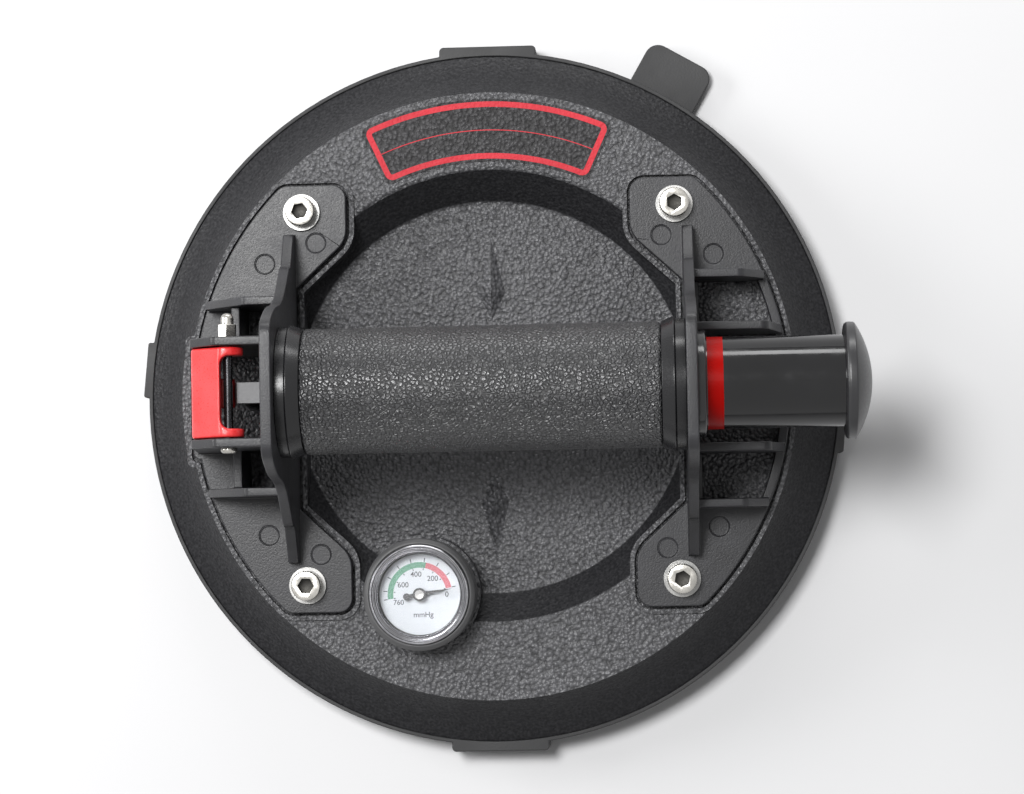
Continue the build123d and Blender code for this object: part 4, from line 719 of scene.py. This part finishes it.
# Dial: a white card printed with a round scale from 0 to 760, with a red band at the weak
# end, a green band at the strong end, thin marks and small figures. A thin black gasket
# lies round it, below the glass.
dial_white = satin("dial_white", (172, 176, 181), (180, 184, 189), 0.5, 0.0006, 0.000006, specular=0.2)
finish(dial_white, "dial_white", "gauge_dial")
dial_low, dial_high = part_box("gauge_dial")
DIAL = Vector(((dial_low.x + dial_high.x) / 2, (dial_low.y + dial_high.y) / 2, dial_high.z))
ZERO_ANGLE = 12.0
FULL_ANGLE = 188.0
WEAK_ANGLE = 78.0
BAND = (7.5 * MM, 9.1 * MM)
GASKET = (11.35 * MM, 12.0 * MM)
PRINT = 0.02 * MM
MARK_HALF = 0.13   # half a mark's width in millimetres


def printed(name, dark, light):
    """Printing ink laid down in fine dots."""
    material, tree, shader, place = start_material(name, roughness=0.45)
    dots = pebbles(tree, place, 0.00028, smooth=0.1)
    paint(tree, shader, dots, dark, light, 0.2, 0.75)
    raise_surface(tree, shader, dots, 0.000004)
    return material


dial_green = printed("dial_green", (20, 98, 68), (84, 132, 112))
dial_red = printed("dial_red", (146, 34, 50), (168, 92, 104))
dial_ink = printed("dial_ink", (24, 26, 30), (44, 46, 50))

for name, material, start, stop in (
    ("dial_strong_band", dial_green, WEAK_ANGLE, FULL_ANGLE),
    ("dial_weak_band", dial_red, ZERO_ANGLE, WEAK_ANGLE),
):
    band = curved_strip(*BAND, 0, start, stop - start, 40)
    thicken(band, PRINT)
    band.location = DIAL
    dress(band, name, "lifter", material)

gasket = curved_strip(*GASKET, 0, 0, 360, 72)
thicken(gasket, 0.12 * MM)
gasket.location = DIAL
dress(gasket, "dial_gasket", "lifter", seal_rubber)

marks = []
for value in (0, 100, 200, 300, 400, 500, 600, 700, 760):
    angle = ZERO_ANGLE + (FULL_ANGLE - ZERO_ANGLE) * value / 760
    for inner, outer in ((6.9, 7.4), (9.2, 10.3)):
        half = math.degrees(MARK_HALF / ((inner + outer) / 2))
        mark = curved_strip(inner * MM, outer * MM, 0, angle - half, 2 * half, 2)
        thicken(mark, PRINT)
        mark.location = DIAL
        marks.append(mark)
for text, reach, angle, size in (
    ("0", 7.6, 359, 2.1), ("200", 5.7, 50, 2.1), ("400", 5.7, 100, 2.1), ("600", 5.4, 150, 2.1),
    ("760", 6.4, 200, 2.0), ("mmHg", 5.8, 279, 2.1),
):
    bpy.ops.object.select_all(action="DESELECT")
    bpy.ops.object.text_add(location=(0, 0, 0))
    figure = bpy.context.object
    figure.data.body = text
    figure.data.size = size * MM
    figure.data.align_x = "CENTER"
    figure.data.align_y = "CENTER"
    figure.data.offset = 0.018 * MM
    figure.data.extrude = PRINT / 2
    bpy.ops.object.convert(target="MESH")
    figure = bpy.context.object
    turn = math.radians(angle)
    away = reach * MM
    figure.location = DIAL + Vector((away * math.cos(turn), away * math.sin(turn), PRINT / 2))
    marks.append(figure)
bpy.ops.object.select_all(action="DESELECT")
for mark in marks:
    mark.select_set(True)
bpy.context.view_layer.objects.active = marks[0]
bpy.ops.object.join()
dress(bpy.context.object, "dial_scale", "lifter", dial_ink)


# Needle: a stamped pointer painted black, pressed on the pinion's arbor with a small
# bright cap.
needle_black = satin("needle_black", (30, 31, 34), (40, 41, 44), 0.35, 0.0005, 0.000006)
finish(needle_black, "needle_black", "gauge_needle")
NEEDLE_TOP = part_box("gauge_needle")[1].z
CAP_RADIUS = 1.25 * MM
CAP_HEIGHT = 0.2 * MM
bpy.ops.object.select_all(action="DESELECT")
bpy.ops.mesh.primitive_cylinder_add(
    vertices=40, radius=CAP_RADIUS, depth=CAP_HEIGHT,
    location=(DIAL.x, DIAL.y, NEEDLE_TOP + CAP_HEIGHT / 2),
)
cap = bpy.context.object
bpy.ops.object.transform_apply(location=True)
bpy.ops.object.mode_set(mode="EDIT")
bpy.ops.mesh.select_mode(type="FACE")
mesh = bmesh.from_edit_mesh(cap.data)
bpy.ops.mesh.select_all(action="DESELECT")
for face in mesh.faces:
    face.select = face.normal.z > 0.9
bmesh.update_edit_mesh(cap.data)
bpy.ops.mesh.inset(thickness=0.15 * MM)
bpy.ops.mesh.inset(thickness=0.75 * MM)
bpy.ops.transform.translate(value=(0, 0, -0.15 * MM))
bpy.ops.object.mode_set(mode="OBJECT")
cap_steel = plated("cap_steel", (138, 138, 137), (158, 158, 157), 0.35, metallic=0.6)
dress(cap, "needle_cap", "needle", cap_steel)


# Camera: high above the lifter, a little beyond the pump end and on the gauge's side, with
# a long lens.
eye = Vector((0.0485, -0.0409, 0.950))
aim = Vector((0.0047, 0.0004, 0.0))
tilt = math.radians(1.13)
back = (eye - aim).normalized()
up = Vector((math.sin(tilt), math.cos(tilt), 0))
right = up.cross(back).normalized()
up = back.cross(right)
lens = bpy.data.cameras.new("camera")
lens.lens = 114.8
lens.sensor_width = 36
camera = bpy.data.objects.new("camera", lens)
bpy.context.scene.collection.objects.link(camera)
camera.matrix_world = Matrix((
    (right.x, up.x, back.x, eye.x),
    (right.y, up.y, back.y, eye.y),
    (right.z, up.z, back.z, eye.z),
    (0, 0, 0, 1),
))
bpy.context.scene.camera = camera


# Floor and light: a plain pale floor, a large soft lamp high at the upper left and two
# low, weak ones at the left and at the back, under an even pale sky.
bpy.ops.object.select_all(action="DESELECT")
bpy.ops.mesh.primitive_plane_add(size=8, location=(0, 0, -0.0001))
floor = bpy.context.object
floor.name = "floor"
floor_paint = satin(
    "floor_paint", (226, 226, 227), (230, 230, 231), 0.8, 0.01, 0.00001, blotch=0.4, specular=0.1
)
floor.data.materials.append(floor_paint)


def soft_lamp(name, place, width, depth, power):
    """A rectangular lamp that faces the lifter."""
    data = bpy.data.lights.new(name, "AREA")
    data.shape = "RECTANGLE"
    data.size = width
    data.size_y = depth
    data.energy = power
    lamp = bpy.data.objects.new(name, data)
    bpy.context.scene.collection.objects.link(lamp)
    lamp.location = place
    lamp.rotation_euler = (Vector(place) - Vector((0, 0, 0.03))).to_track_quat("Z", "Y").to_euler()


soft_lamp("key", (-0.34, 0.3, 1.33), 0.42, 0.42, 17)
soft_lamp("left", (-1.15, 0.35, 0.5), 0.7, 0.3, 9.5)
soft_lamp("back", (0.1, 1.2, 0.35), 1.0, 0.25, 7)
sky = bpy.data.worlds.new("sky")
bpy.context.scene.world = sky
sky.use_nodes = True
tree = sky.node_tree
light = tree.nodes["Background"]
light.inputs["Color"].default_value = (1, 1, 1, 1)
light.inputs["Strength"].default_value = 0.18
white = tree.nodes.new("ShaderNodeBackground")
white.inputs["Color"].default_value = (1, 1, 1, 1)
white.inputs["Strength"].default_value = 1.0
rays = tree.nodes.new("ShaderNodeLightPath")
either = sum_of(tree, "MAXIMUM", rays.outputs["Is Camera Ray"], rays.outputs["Is Transmission Ray"])
either = sum_of(tree, "MAXIMUM", either, rays.outputs["Is Glossy Ray"])
choose = tree.nodes.new("ShaderNodeMixShader")
tree.links.new(either, choose.inputs[0])
tree.links.new(light.outputs["Background"], choose.inputs[1])
tree.links.new(white.outputs["Background"], choose.inputs[2])
tree.links.new(choose.outputs["Shader"], tree.nodes["World Output"].inputs["Surface"])
bpy.context.scene.view_settings.view_transform = "Standard"
